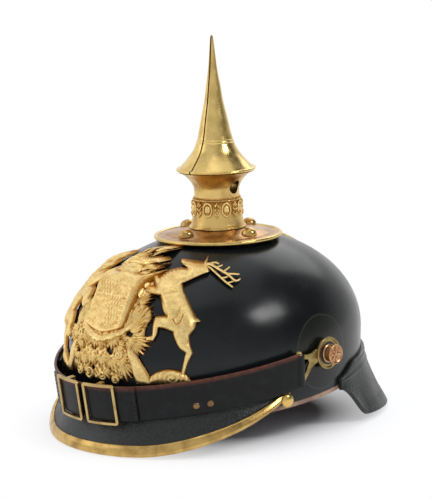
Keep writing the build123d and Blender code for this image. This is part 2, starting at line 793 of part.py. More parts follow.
def make_neck_socket():
    """A plate across the neck's flare with a threaded boss for the spike's stem."""
    low = (Align.CENTER, Align.CENTER, Align.MIN)
    top = neck_top_height - neck_wall
    plate = Cylinder(socket_plate_radius, socket_plate_thickness, align=low)
    boss = Pos(0, 0, top - socket_depth) * Cylinder(socket_boss_radius, socket_depth, align=low)
    bore = Pos(0, 0, top - socket_depth) * Cylinder(stem_radius + stem_fit, 2 * socket_depth, align=low)
    return Pos(0, 0, top - socket_plate_thickness) * plate + boss - bore


def spike_points(inset):
    """Radius and height along the spike's concave side, moved in by inset."""
    height = spike_tip_height - spike_base_height
    points = []
    for up, out in zip(spike_height_shares, spike_radius_shares):
        points.append((spike_bead_ring_radius * out - inset, spike_base_height + height * up))
    return points


def make_spike():
    """The hollow spike with its rolled bead and a rounded tip."""
    outer_points = spike_points(0)
    tip = (0, spike_tip_height)
    tip_side = (spike_tip_radius, spike_tip_height - spike_tip_radius)
    diagonal = spike_tip_radius * math.sqrt(1 / 2)
    tip_middle = (diagonal, spike_tip_height - spike_tip_radius + diagonal)
    hollow_top = spike_base_height + (spike_tip_height - spike_base_height) * spike_hollow_top_share
    inner_points = [place for place in spike_points(spike_wall) if place[1] < hollow_top]
    edges = [
        Spline(*outer_points, tip_side),
        ThreePointArc(tip_side, tip_middle, tip),
        Line(tip, (0, hollow_top)),
        Line((0, hollow_top), inner_points[-1]),
        Spline(*inner_points),
        Line(inner_points[0], outer_points[0]),
    ]
    bead_height = spike_bead_height()
    bead = Pos(spike_bead_ring_radius, bead_height) * Circle(spike_bead_radius)
    joint = make_face(
        Polyline(
            (spike_bead_ring_radius, bead_height),
            inner_points[0],
            outer_points[0],
            (spike_bead_ring_radius, bead_height + spike_bead_radius),
            close=True,
        )
    )
    return revolve(Plane.XZ * (make_face(edges) + bead + joint), Axis.Z)


def spike_bead_height():
    """Height of the middle of the rolled bead at the spike's foot."""
    return spike_base_height + spike_bead_radius


def make_spike_base():
    """The disc soldered into the bead at the spike's foot."""
    low = (Align.CENTER, Align.CENTER, Align.MIN)
    base = Pos(0, 0, spike_bead_height() - spike_base_drop)
    radius = spike_bead_ring_radius - spike_bead_radius - seat_gap
    disc = Cylinder(radius, spike_base_thickness, align=low)
    return base * (disc - Cylinder(stem_radius + stem_fit, spike_base_thickness, align=low))


def make_spike_stem():
    """The threaded stem under the spike, with its flange above the disc."""
    low = (Align.CENTER, Align.CENTER, Align.MIN)
    top = spike_bead_height() - spike_base_drop + spike_base_thickness + seat_gap
    foot = neck_top_height - neck_wall - stem_turns * stem_pitch
    shank = Pos(0, 0, foot) * Cylinder(stem_radius, top - foot, align=low)
    return shank + Pos(0, 0, top) * Cylinder(2 * stem_radius, spike_base_thickness, align=low)


def make_skull():
    """The leather skull with its crown hole, rear vent and all fastener holes."""
    skull = skull_dome(0) - skull_dome(-skull_thickness) - below_edge(0)
    skull -= Pos(0, 0, skull_crown_height) * Cylinder(crown_hole_radius, 2 * cut_overrun)
    for place in base_stud_places():
        skull -= place * Cylinder(base_shank_radius + seat_gap, 2 * cut_overrun)
    for hole in trim_stud_holes():
        skull -= hole
    for side in (-1, 1):
        skull -= side_axis(side, post_outer_x()) * Cylinder(post_radius + seat_gap, cut_overrun)
        skull -= lug_place(side) * Cylinder(lug_radius + seat_gap, cut_overrun)
    rear = Pos(0, skull_y(0, vent_slot_height, 0, 1), vent_slot_height)
    vent = Cylinder(vent_slot_half_width + seat_gap, cut_overrun)
    return skull - rear * Rot(quarter_turn, 0, 0) * vent


def make_sweatband():
    """The sweatband inside the skull's edge, with its turned-out raw lip below the edge."""
    band = skull_dome(-skull_thickness - seat_gap) - skull_dome(-skull_thickness - sweatband_thickness)
    band -= below_edge(-lip_drop)
    reach = 4 * skull_half_length
    tilt = math.degrees(math.atan(skull_edge_rise_share))
    above = Box(reach, reach, reach, align=(Align.CENTER, Align.CENTER, Align.MIN))
    band -= Pos(0, 0, skull_edge_height + sweatband_height) * Rot(tilt, 0, 0) * above
    lip = skull_dome(-lip_setback) - skull_dome(-skull_thickness - sweatband_thickness)
    lip -= below_edge(-lip_drop)
    lip -= Pos(0, 0, skull_edge_height - seat_gap) * Rot(tilt, 0, 0) * above
    return band + lip


def liner_dome(grow):
    """The liner's outer form: lower and rounder than the skull."""
    inset = skull_thickness + sweatband_thickness + leather_gap / 2
    return oval_dome(
        skull_half_width - inset + grow,
        skull_half_length - inset + grow,
        liner_wall_top,
        liner_crown_height + grow,
        liner_foot_height,
    )


def make_liner():
    """The leather liner: a sewn band that splits into tapering tongues."""
    liner = liner_dome(0) - liner_dome(-liner_thickness)
    liner -= Pos(0, 0, liner_crown_height) * Cylinder(liner_opening_radius, liner_crown_height)
    for side in (-1, 1):
        nut_space = Cylinder(post_washer_radius + liner_thickness, cut_overrun)
        liner -= side_axis(side, post_outer_x()) * nut_space
    reach = 2 * skull_half_length
    half = reach * math.tan(math.radians(tongue_gap_angle / 2))
    for step in range(tongue_count):
        wedge = make_face(Polyline((0, 0), (reach, half), (reach, -half), close=True))
        cutter = Pos(0, 0, tongue_root_height) * extrude(wedge, liner_crown_height)
        liner -= Rot(0, 0, 360 * (step + 1 / 2) / tongue_count) * cutter
    return liner


def make_drawstring():
    """The cord that gathers the tongues' tips, lying in an oval ring under them."""
    ring = liner_opening_radius + 2 * drawstring_radius
    inset = skull_thickness + sweatband_thickness + leather_gap / 2
    half_width = skull_half_width - inset - liner_thickness
    rise = liner_crown_height - liner_thickness - liner_wall_top
    under = liner_wall_top + rise * math.sqrt(1 - (ring / half_width) ** 2)
    height = under - drawstring_radius - leather_gap / 2
    stretch = skull_half_length / skull_half_width
    rows = [[1, 0, 0, 0], [0, stretch, 0, skull_centre_y(height)], [0, 0, 1, height]]
    return Torus(ring, drawstring_radius).transform_geometry(Matrix(rows))


def guard_outer_y(height):
    """How far the neck guard's outer face reaches back on the centre line, with its slope."""
    line = shifted_line(guard_line(180), skirt_thickness)
    share = 0
    while share < 1 and bezier_point(line, share)[1] > height:
        share += 1 / spine_search_steps
    return bezier_point(line, share)[0]


def bezier_point(line, share):
    """A point of the curved skirt line."""
    rest = 1 - share
    return tuple(rest**2 * a + 2 * share * rest * b + share**2 * c for a, b, c in zip(*line))


def spine_line(offset):
    """Side line of the rear spine, moved out by offset: down the skull, a step, down the guard."""
    upper = []
    step_low = guard_line(180)[0][1] + spine_step_gap
    step_high = step_low + spine_step_height
    for height in spread(spine_top_height, skull_wall_top, spine_upper_points):
        upper.append((skull_y(0, height, offset, 1), height))
    upper.append((skull_y(0, step_high, offset, 1), step_high))
    lower = []
    for height in spread(step_low, spine_bottom_height, spine_lower_points):
        lower.append((guard_outer_y(height) + offset, height))
    return [Spline(*upper), Line(upper[-1], lower[0]), Spline(*lower)]


def make_spine():
    """The rear spine: a brass strip with a vent slot and two rails for its cover."""
    inner = spine_line(spine_gap)
    outer = spine_line(spine_gap + spine_thickness)
    ends = [Line(inner[0] @ 0, outer[0] @ 0), Line(inner[2] @ 1, outer[2] @ 1)]
    strip = extrude(Plane.YZ * make_face([*inner, *outer, *ends]), spine_half_width, both=True)
    place = vent_plane()
    strip -= place * Box(2 * vent_slot_half_width, 2 * vent_slot_half_height, cut_overrun)
    stack = vent_cover_thickness + 2 * vent_cover_gap
    half = spine_thickness / 2
    low = (Align.CENTER, Align.CENTER, Align.MIN)
    for side in (-1, 1):
        middle = side * (vent_cover_half_width + vent_cover_gap + vent_rail_width / 2)
        rail = Box(vent_rail_width, 2 * vent_rail_half_length, stack + half, align=low)
        lip = Box(vent_rail_width + vent_rail_lip, 2 * vent_rail_half_length, half, align=low)
        strip += place * Pos(middle, vent_travel / 2, -half) * rail
        strip += place * Pos(middle - side * vent_rail_lip / 2, vent_travel / 2, stack) * lip
    return strip - spine_stud_place() * Cylinder(trim_shank_radius + seat_gap, cut_overrun)


def vent_plane():
    """The plane on the spine's outer face at the vent, with its own y along the spine."""
    y = skull_y(0, vent_slot_height, spine_gap + spine_thickness, 1)
    return Plane(origin=(0, y, vent_slot_height), x_dir=(-1, 0, 0), z_dir=(0, 1, -skull_lean_share))


def make_vent_cover():
    """The sliding vent cover with its finger knob."""
    low = (Align.CENTER, Align.CENTER, Align.MIN)
    cover = Box(2 * vent_cover_half_width, 2 * vent_cover_half_height, vent_cover_thickness, align=low)
    knob = Cylinder(vent_knob_radius, vent_cover_thickness + vent_knob_rise, align=low)
    return vent_plane() * Pos(0, 0, vent_cover_gap) * (cover + knob)


def spine_stud_place():
    """Plane on the spine's face over the neck guard where its fixing stud sits."""
    step = spine_stud_radius / 2
    low = guard_outer_y(spine_stud_height - step)
    high = guard_outer_y(spine_stud_height + step)
    y = (low + high) / 2 + spine_gap + spine_thickness
    plane = Plane(origin=(0, y, spine_stud_height), x_dir=(1, 0, 0), z_dir=(0, 2 * step, low - high))
    return plane.offset(leather_gap)


def make_spine_stud():
    """The domed stud that holds the spine's lower end to the neck guard."""
    depth = spine_thickness + spine_gap + skirt_thickness + spine_stud_rise
    head = domed_head(spine_stud_radius, spine_stud_rise)
    shank = Cylinder(trim_shank_radius, depth, align=(Align.CENTER, Align.CENTER, Align.MAX))
    return spine_stud_place() * (head + shank)


def post_outer_x():
    """Where the skull's outer face meets the side posts' axis."""
    return skull_x(post_y, post_height, 0)


def side_axis(side, x):
    """Place on a side post's axis, with local z pointing out of the helmet."""
    return Plane(origin=(side * x, post_y, post_height), x_dir=(0, side, 0), z_dir=(side, 0, 0))


def make_side_post(side):
    """A side post: a collar shaped to the skull and a shaft for the hanger and the rosette."""
    outer = post_outer_x()
    low = (Align.CENTER, Align.CENTER, Align.MIN)
    collar_end = hanger_plane_x - hanger_thickness / 2 - leather_gap
    inner_end = post_nut_x() - post_nut_thickness
    outer_end = hanger_plane_x + hanger_thickness / 2 + rosette_depth / 2
    start = outer - post_collar_radius
    collar = side_axis(side, start) * Cylinder(post_collar_radius, collar_end - start, align=low)
    shaft = side_axis(side, inner_end) * Cylinder(post_radius, outer_end - inner_end, align=low)
    return collar - skull_dome(seat_gap) + shaft


def make_rosette(side):
    """The petalled cap that screws on the post and holds the hanger."""
    start = hanger_plane_x + hanger_thickness / 2 + leather_gap
    low = (Align.CENTER, Align.CENTER, Align.MIN)
    cap = Cylinder(rosette_radius, rosette_depth, align=low)
    for step in range(rosette_petals):
        turn = 2 * math.pi * step / rosette_petals
        flute = Cylinder(rosette_petal_depth, rosette_depth, align=low)
        cap -= Pos(rosette_radius * math.cos(turn), rosette_radius * math.sin(turn), 0) * flute
    cap += Pos(0, 0, rosette_depth) * domed_head(rosette_radius / 2, rosette_petal_depth)
    cap -= Cylinder(post_radius + seat_gap, rosette_depth - rosette_petal_depth, align=low)
    return side_axis(side, start) * cap


def post_nut_x():
    """Where a side post's nut starts, clear of the bent washer's edge."""
    inset = skull_thickness + post_washer_thickness + 2 * seat_gap
    return skull_x(post_y + post_nut_radius, post_height, -inset)


def make_post_nuts():
    """Bent washer and hexagonal nut on the inside end of each side post."""
    outer = skull_dome(-skull_thickness - seat_gap)
    shell = outer - skull_dome(-skull_thickness - seat_gap - post_washer_thickness)
    high = (Align.CENTER, Align.CENTER, Align.MAX)
    pieces = []
    for side in (-1, 1):
        hole = side_axis(side, post_outer_x()) * Cylinder(post_radius + seat_gap, cut_overrun)
        washer = shell & side_axis(side, post_outer_x()) * Cylinder(post_washer_radius, cut_overrun)
        nut = extrude(RegularPolygon(post_nut_radius, 6), -post_nut_thickness)
        pieces.append((washer - hole).solid())
        pieces.append((side_axis(side, post_nut_x()) * nut - hole).solid())
    return pieces


def make_hanger(side):
    """A flat brass fitting: a ring on the post, a neck and a slotted frame for the strap."""
    ring = Circle(hanger_ring_radius)
    frame_length = hanger_slot_width + 2 * hanger_bar_width
    frame_middle = post_y - hanger_frame_y + frame_length / 2 - hanger_bar_width
    corner = hanger_bar_width / 2
    frame = Pos(frame_middle, -hanger_drop) * RectangleRounded(frame_length, hanger_frame_height, corner)
    neck = make_face(
        Polyline(
            (0, hanger_neck_height / 2),
            (frame_middle, hanger_neck_height / 2 - hanger_drop / 2),
            (frame_middle, -hanger_neck_height / 2 - hanger_drop / 2),
            (0, -hanger_neck_height / 2),
            close=True,
        )
    )
    slot = Pos(frame_middle, -hanger_drop) * Rectangle(hanger_slot_width, hanger_slot_height)
    outline = ring + frame + neck - slot - Circle(post_radius + hanger_fit)
    back = hanger_plane_x - hanger_thickness / 2
    plane = Plane(origin=(side * back, post_y, post_height), x_dir=(0, -1, 0), z_dir=(side, 0, 0))
    sketch = outline if side < 0 else mirror(outline, Plane.XZ)
    return plane * extrude(sketch, hanger_thickness)


def strap_plane():
    """The strap's plane: local x across the helmet, local y to the rear, dipping forwards."""
    dip = math.atan(strap_dip_share)
    upward = (0, -math.sin(dip), math.cos(dip))
    return Plane(origin=(0, 0, strap_axis_height), x_dir=(1, 0, 0), z_dir=upward)


def strap_arcs():
    """Centres and radii of the strap's front and side arcs, which meet smoothly."""
    dip = math.atan(strap_dip_share)
    front = (0, strap_front_y / math.cos(dip) + strap_front_radius)
    drop = strap_side_y - front[1]
    spare = strap_half_span - strap_front_radius
    side_radius = (strap_half_span**2 + drop**2 - strap_front_radius**2) / (2 * spare)
    side = (strap_half_span - side_radius, strap_side_y)
    meet = math.degrees(math.atan2(side_radius - strap_half_span, drop))
    return front, side, side_radius, meet


def strap_point(azimuth, offset):
    """A point of the strap's plan, at an angle from the front about the arc that holds it."""
    front, side, side_radius, meet = strap_arcs()
    turn = math.radians(abs(azimuth))
    sign = math.copysign(1, azimuth)
    if abs(azimuth) <= meet:
        radius = strap_front_radius + offset
        return sign * radius * math.sin(turn), front[1] - radius * math.cos(turn)
    radius = side_radius + offset
    return sign * (side[0] + radius * math.sin(turn)), side[1] - radius * math.cos(turn)


def band_face(low_angle, high_angle, inner, outer):
    """Plan of a strap layer between two angles and two offsets from the strap's outer line."""
    meet = strap_arcs()[3]
    stops = [low_angle]
    for turning in (-meet, meet):
        if low_angle < turning < high_angle:
            stops.append(turning)
    stops.append(high_angle)
    edges = []
    for offset in (inner, outer):
        for start, end in zip(stops, stops[1:]):
            angles = (start, (start + end) / 2, end)
            edges.append(ThreePointArc(*[strap_point(angle, offset) for angle in angles]))
    for angle in (low_angle, high_angle):
        edges.append(Line(strap_point(angle, inner), strap_point(angle, outer)))
    return make_face(edges)


def strap_end_angle():
    """Angle about the side arc where the strap reaches its hanger."""
    front, side, side_radius, meet = strap_arcs()
    return math.degrees(math.acos((side[1] - strap_end_y) / side_radius))


def strap_layer(face, width):
    """A strap layer of a width, centred on the strap's plane."""
    return strap_plane() * extrude(face, width / 2, both=True)


def make_strap():
    """The strap: one long layer, folded round both hangers' bars and lapped back inside."""
    end = strap_end_angle()
    strap = strap_layer(band_face(-end, end, -strap_thickness, 0), strap_width)
    lap_outer = -strap_thickness - lap_gap
    for side in (-1, 1):
        low, high = sorted((side * lap_angle, side * end))
        lap = band_face(low, high, lap_outer - strap_thickness, lap_outer + lap_gap)
        strap += strap_layer(lap, lap_width)
        strap += make_fold(side)
        strap -= hanger_bar_space(side)
        for angle in rivet_angles:
            strap -= rivet_plane(side * angle) * Cylinder(rivet_radius + seat_gap, cut_overrun)
    return strap


def hanger_bar_y():
    """Middle of the hanger's front bar along y."""
    return hanger_frame_y - hanger_slot_width - hanger_bar_width / 2


def make_fold(side):
    """The leather eye that closes round a hanger's front bar."""
    across = hanger_thickness + 2 * leather_gap + 2 * strap_thickness
    along = hanger_bar_width + 2 * leather_gap + 2 * strap_thickness
    bar_y = hanger_bar_y()
    height = strap_axis_height + strap_dip_share * bar_y
    eye = extrude(RectangleRounded(across, along, strap_thickness), strap_hanger_width / 2, both=True)
    return Pos(side * hanger_plane_x, bar_y, height) * eye


def hanger_bar_space(side):
    """Room for a hanger's front bar inside the strap's eye."""
    across = hanger_thickness + 2 * leather_gap
    along = hanger_bar_width + 2 * leather_gap
    space = Box(across, along, 2 * hanger_frame_height)
    return Pos(side * hanger_plane_x, hanger_bar_y(), post_height) * space


def rivet_plane(angle):
    """Plane on the strap's outer face at an angle, normal pointing outwards."""
    plan = strap_point(angle, 0)
    ahead = strap_point(angle, 1)
    plane = strap_plane()
    origin = plane.from_local_coords(Vector(plan[0], plan[1], -rivet_drop))
    tip = plane.from_local_coords(Vector(ahead[0], ahead[1], -rivet_drop))
    return Plane(origin=origin, z_dir=tip - origin)


def make_strap_rivets():
    """Copper rivets that hold the lapped ends."""
    depth = 2 * (strap_thickness + lap_gap)
    rivets = []
    for side in (-1, 1):
        for angle in rivet_angles:
            shank = Cylinder(rivet_radius, depth, align=(Align.CENTER, Align.CENTER, Align.MAX))
            head = domed_head(rivet_head_radius, rivet_head_rise)
            back = Pos(0, 0, -depth) * Rot(180, 0, 0) * domed_head(rivet_head_radius, rivet_head_rise)
            rivets.append((rivet_plane(side * angle) * (shank + head + back)).solid())
    return rivets


def make_tab(side):
    """The sewn leather tab that lies over the strap under one buckle."""
    wire_angle = math.degrees(buckle_wire / strap_front_radius)
    start = buckle_start_angle + wire_angle + tab_start_gap_angle
    low, high = sorted((side * start, side * tab_end_angle))
    face = band_face(low, high, tab_gap, tab_gap + tab_thickness)
    return strap_layer(face, strap_width)


def make_buckle(side):
    """A plain rectangular buckle: frame over the strap, lugs past its edges, bar behind it."""
    per_length = math.degrees(1 / strap_front_radius)
    start = buckle_start_angle
    end = start + buckle_length * per_length
    face_low = tab_gap + tab_thickness + buckle_gap
    face_high = face_low + buckle_wire
    inner_height = strap_width + 2 * buckle_side_gap
    outer_height = inner_height + 2 * buckle_wire
    low, high = sorted((side * start, side * end))
    frame = strap_layer(band_face(low, high, face_low, face_high), outer_height)
    wire = buckle_wire * per_length
    above = face_high + buckle_wire
    window = band_face(low + wire, high - wire, face_low - buckle_wire, above)
    frame -= strap_layer(window, inner_height)
    middle = (low + high) / 2
    half = buckle_lug_length * per_length / 2
    back_high = -strap_thickness - buckle_gap
    back_low = back_high - buckle_bar_thickness
    lugs = strap_layer(band_face(middle - half, middle + half, back_low, face_high), outer_height)
    inside = band_face(middle - 2 * half, middle + 2 * half, back_high, above)
    lugs -= strap_layer(inside, inner_height)
    return frame + lugs


def spline_outline(stretches, width, height, base):
    """Edges of a closed outline given as stretches of shares; two points make a line."""
    edges = []
    for stretch in stretches:
        points = [(across * width, base + up * height) for across, up in stretch]
        edges.append(Line(*points) if len(points) == 2 else Spline(*points))
    return edges


def make_supporter(shares, side):
    """One supporter as a prism along its own azimuth, mirrored for the other side."""
    edges = spline_outline(shares, side * supporter_height, supporter_height, supporter_foot_height)
    face = make_face(edges)
    mound = mound_face(side)
    return plate_prism(face + mound, side * supporter_azimuth)


def mound_face(side):
    """The low mound under a supporter's feet."""
    middle = side * mound_centre_share * supporter_height
    foot = supporter_foot_height + mound_foot_share * supporter_height
    half = mound_half_width_share * supporter_height
    top = foot + mound_height_share * supporter_height
    arc = ThreePointArc((middle - half, foot), (middle, top), (middle + half, foot))
    return make_face([arc, Line(arc @ 1, arc @ 0)])


def plate_prism(sketch, azimuth):
    """A sketch across an azimuth, with height as its second axis, pushed out through the skull."""
    turn = math.radians(azimuth)
    outward = (math.sin(turn), -math.cos(turn), 0)
    plane = Plane(origin=(0, 0, 0), x_dir=(math.cos(turn), math.sin(turn), 0), z_dir=outward)
    start = skull_half_length - plate_prism_depth
    return plane * Pos(0, 0, start) * extrude(sketch, 2 * plate_prism_depth)


def shield_face(inset):
    """A heater shield, moved in by inset."""
    half = shield_half_width - inset
    top = shield_top_height - inset
    tip = shield_tip_height + inset
    shoulder = (top + tip) / 2
    bulge = half * shield_bulge_share
    low = (shoulder + 2 * tip) / 3
    edges = [Line((-half, top), (half, top)), Line((half, top), (half, shoulder))]
    edges.append(ThreePointArc((half, shoulder), (bulge, low), (0, tip)))
    edges.append(ThreePointArc((0, tip), (-bulge, low), (-half, shoulder)))
    edges.append(Line((-half, shoulder), (-half, top)))
    return make_face(edges)


def both_halves(half):
    """A half outline and its mirror image, as one face."""
    return half + mirror(half, Plane.YZ)


def centre_face():
    """Foliage, scroll, shield and crest as one pierced outline."""
    foliage = make_face(
        spline_outline(foliage_shares, supporter_height, supporter_height, supporter_foot_height)
    )
    crest = make_face(
        spline_outline(crest_shares, shield_half_width, shield_half_width, shield_top_height)
    )
    outline = both_halves(foliage) + shield_face(0) + Pos(crest_shift, 0) * both_halves(crest)
    for across, up, radius in piercing_shares:
        for side in (-1, 1):
            x = side * across * supporter_height
            y = supporter_foot_height + up * supporter_height
            outline -= Pos(x, y) * Circle(radius * supporter_height)
    return outline


def plate_shell(low, high):
    """The space between two offsets of the skull's surface."""
    return skull_dome(high) - skull_dome(low)


def make_plate():
    """The front plate: centre, stag and lion cut from one shell round the dome."""
    base = plate_shell(plate_gap, plate_gap + plate_thickness)
    raised = plate_shell(plate_gap, plate_gap + plate_thickness + plate_relief)
    plate = plate_prism(centre_face(), 0) & base
    plate += make_supporter(stag_shares, 1) & base
    plate += make_supporter(lion_shares, -1) & base
    plate += plate_prism(shield_face(shield_rim), 0) & raised
    return plate - Cylinder(disc_radius + 2 * disc_bead_radius, 2 * skull_crown_height)


def lug_place(side):
    """Plane just behind the plate where a lug starts, its normal pointing out of the skull."""
    x = side * lug_x
    return surface_plane(x, skull_y(x, lug_height, 0, -1), lug_height, 0).offset(plate_gap - seat_gap)


def make_plate_lugs():
    """Threaded lugs behind the plate, through the skull."""
    lug = Cylinder(lug_radius, lug_length, align=(Align.CENTER, Align.CENTER, Align.MAX))
    return [(lug_place(side) * lug).solid() for side in (-1, 1)]


def make_lug_nuts():
    """Square nuts on the lugs, against the skull's inner face."""
    depth = plate_gap + skull_thickness + leather_gap
    high = (Align.CENTER, Align.CENTER, Align.MAX)
    nut = Box(2 * lug_nut_radius, 2 * lug_nut_radius, lug_nut_thickness, align=high)
    nut -= Cylinder(lug_radius + seat_gap, lug_nut_thickness, align=high)
    return [(lug_place(side) * Pos(0, 0, -depth) * nut).solid() for side in (-1, 1)]


def write(name, shape):
    """Writes one named sub-part; a list of solids becomes one group."""
    solids = shape if isinstance(shape, list) else shape.solids()
    whole = solids[0] if len(solids) == 1 else Compound(children=list(solids))
    export_step(whole, f"parts/{name}.step")


def main():
    """Builds and writes every sub-part."""
    os.makedirs("parts", exist_ok=True)
    visor = make_visor()
    trim = make_trim(visor)
    for hole in trim_stud_holes():
        visor -= hole
        trim -= hole
    guard = make_neck_guard() - spine_stud_place() * Cylinder(trim_shank_radius + seat_gap, cut_overrun)
    write("skull", make_skull())
    write("front_visor", visor)
    write("visor_trim", trim)
    write("visor_trim_studs", make_trim_studs())
    write("neck_guard", guard)
    write("sweatband", make_sweatband())
    write("liner_tongues", make_liner())
    write("liner_drawstring", make_drawstring())
    write("base_disc", make_base_disc())
    write("base_pad", make_base_pad())
    write("base_studs", make_base_studs())
    write("base_stud_washers", make_base_washers())
    write("spike_neck", make_neck())
    write("neck_ornament_band", make_neck_band())
    write("neck_socket", make_neck_socket())
    write("spike", make_spike())
    write("spike_base_plate", make_spike_base())
    write("spike_stem", make_spike_stem())
    write("rear_spine", make_spine())
    write("rear_vent_cover", make_vent_cover())
    write("rear_spine_stud", make_spine_stud())
    write("front_plate", make_plate())
    write("front_plate_lugs", make_plate_lugs())
    write("front_plate_nuts", make_lug_nuts())
    write("side_post_nuts", make_post_nuts())
    write("chin_strap", make_strap())
    write("strap_rivets", make_strap_rivets())
    for side, name in ((1, "left"), (-1, "right")):
        write(f"side_post_{name}", make_side_post(side))
        write(f"rosette_{name}", make_rosette(side))
        write(f"strap_hanger_{name}", make_hanger(side))
        write(f"strap_tab_{name}", make_tab(side))
        write(f"buckle_{name}", make_buckle(side))


if __name__ == "__main__":
    main()
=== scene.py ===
"""Looks for a spiked leather parade helmet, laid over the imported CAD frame."""

import logging
from collections.abc import Callable, Sequence
from dataclasses import dataclass
from enum import Enum
from functools import partial
from math import acos, atan, atan2, copysign, cos, degrees, exp, hypot, pi, radians, sin, sqrt

import bmesh
import bpy
import numpy as np
from mathutils import Matrix, Vector
from mathutils.geometry import delaunay_2d_cdt


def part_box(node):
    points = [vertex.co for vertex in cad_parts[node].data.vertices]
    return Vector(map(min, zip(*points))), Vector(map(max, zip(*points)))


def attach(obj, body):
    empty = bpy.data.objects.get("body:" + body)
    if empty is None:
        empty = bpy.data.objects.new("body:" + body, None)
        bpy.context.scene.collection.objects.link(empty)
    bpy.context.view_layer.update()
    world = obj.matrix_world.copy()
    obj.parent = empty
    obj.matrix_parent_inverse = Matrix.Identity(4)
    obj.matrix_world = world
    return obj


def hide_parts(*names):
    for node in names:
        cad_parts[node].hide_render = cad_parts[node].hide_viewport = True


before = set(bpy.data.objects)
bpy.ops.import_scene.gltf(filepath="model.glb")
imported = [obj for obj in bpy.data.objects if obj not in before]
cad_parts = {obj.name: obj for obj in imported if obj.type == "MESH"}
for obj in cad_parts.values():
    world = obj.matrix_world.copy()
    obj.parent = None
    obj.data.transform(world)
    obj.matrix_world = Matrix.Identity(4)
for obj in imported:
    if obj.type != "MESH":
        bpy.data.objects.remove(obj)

Node = bpy.types.Node
Piece = bpy.types.Object
Socket = bpy.types.NodeSocket
Tree = bpy.types.NodeTree
Adder = Callable[..., Node]
Flat = tuple[float, float]
Line = tuple[Flat, Flat, Flat]

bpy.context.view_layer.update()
MM = 0.001
LOG = logging.getLogger("helmet")
# Directions of the dark and the pale side of the room that the metal mirrors
DARK_SIDE = (0.5, 0.5, 0.707)
BACKDROP = (-0.68, 0.66, 0.34)
# A full turn, in radians
ROUND = 2 * pi


class Body(Enum):
    """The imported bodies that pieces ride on."""

    HELMET = "helmet"
    SPIKE = "spike_cone"
    STEM = "spike_screw"
    STRAP = "strap"
    LEFT_BUCKLE = "left_buckle"
    RIGHT_BUCKLE = "right_buckle"
    VENT = "vent_slide"


# Colour and material tools


def srgb(code: str) -> tuple[float, float, float, float]:
    """Turns an sRGB hex colour to linear values.

    Args:
        code: six hex digits, with or without a leading hash.

    Returns:
        Linear red, green, blue and an alpha of 1.
    """
    code = code.lstrip("#")
    parts = [int(code[at : at + 2], 16) / 255 for at in (0, 2, 4)]
    line = [c / 12.92 if c <= 0.04045 else ((c + 0.055) / 1.055) ** 2.4 for c in parts]
    return (line[0], line[1], line[2], 1.0)


def add_node(tree: Tree, kind: str, settings: dict) -> Node:
    """Adds one node with its settings and links.

    Args:
        tree: the material's or world's node tree.
        kind: the node's type, without its first word.
        settings: attributes by name, and inputs by name or number, with a value, a hex colour, a
            socket or a node to link. "size" is a pattern's size in millimetres, and "stops" are
            the places and greys of a ramp.

    Returns:
        The new node.
    """
    made = tree.nodes.new(f"ShaderNode{kind}")
    for key, value in settings.items():
        if isinstance(value, Node):
            value = value.outputs[0]
        if key == "size":
            made.inputs["Scale"].default_value = 1000.0 / value
        elif key == "stops":
            (low, low_grey), *between, (high, high_grey) = value
            band = made.color_ramp.elements
            band[0].position, band[1].position = low, high
            band[0].color, band[1].color = (low_grey,) * 3 + (1,), (high_grey,) * 3 + (1,)
            for place, grey in between:
                band.new(place).color = (grey, grey, grey, 1)
        elif isinstance(key, str) and hasattr(made, key):
            setattr(made, key, value)
        elif isinstance(value, Socket):
            tree.links.new(value, made.inputs[key])
        else:
            made.inputs[key].default_value = srgb(value) if isinstance(value, str) else value
    return made


class Finish:
    """Base of every finish: makes its material once, from what draw() gives."""

    name = "finish"

    def draw(self, add: Adder, place: Socket) -> tuple[dict, tuple]:
        """Adds the finish's own nodes.

        Args:
            add: adds a node to the material.
            place: object coordinates in metres.

        Returns:
            The surface's inputs, then its bumps, each a height, a strength and a depth in
            millimetres. A height may be the size and the detail of soft noise.
        """
        raise NotImplementedError

    def material(self) -> bpy.types.Material:
        """Returns the finish's material, made once."""
        label = f"{self.name}_finish"
        ready = bpy.data.materials.get(label)
        if ready is not None:
            return ready
        made = bpy.data.materials.new(label)
        made.use_nodes = True
        made.node_tree.nodes.clear()
        add = partial(add_node, made.node_tree)
        place = add("TexCoord", {}).outputs["Object"]
        inputs, bumps = self.draw(add, place)
        for height, strength, depth in bumps:
            if isinstance(height, tuple):
                height = add("TexNoise", {"Vector": place, "size": height[0], "Detail": height[1]})
            raised = {"Height": height, "Strength": strength, "Distance": depth * MM}
            if "Normal" in inputs:
                raised["Normal"] = inputs["Normal"]
            inputs["Normal"] = add("Bump", raised)
        add("OutputMaterial", {"Surface": add("BsdfPrincipled", inputs)})
        return made

    @staticmethod
    def cloud(add: Adder, place: Socket, size: float, detail: float, *stops: Flat) -> Node:
        """Soft clouds of a size in millimetres, drawn through the stops of a ramp."""
        soft = add("TexNoise", {"Vector": place, "size": size, "Detail": detail})
        return add("ValToRGB", {"Fac": soft, "stops": stops})

    @staticmethod
    def over(add: Adder, amount: Node, low: object, high: object) -> Socket:
        """Lays one colour over another by an amount from 0 to 1."""
        return add("Mix", {"data_type": "RGBA", 0: amount, 6: low, 7: high}).outputs[2]


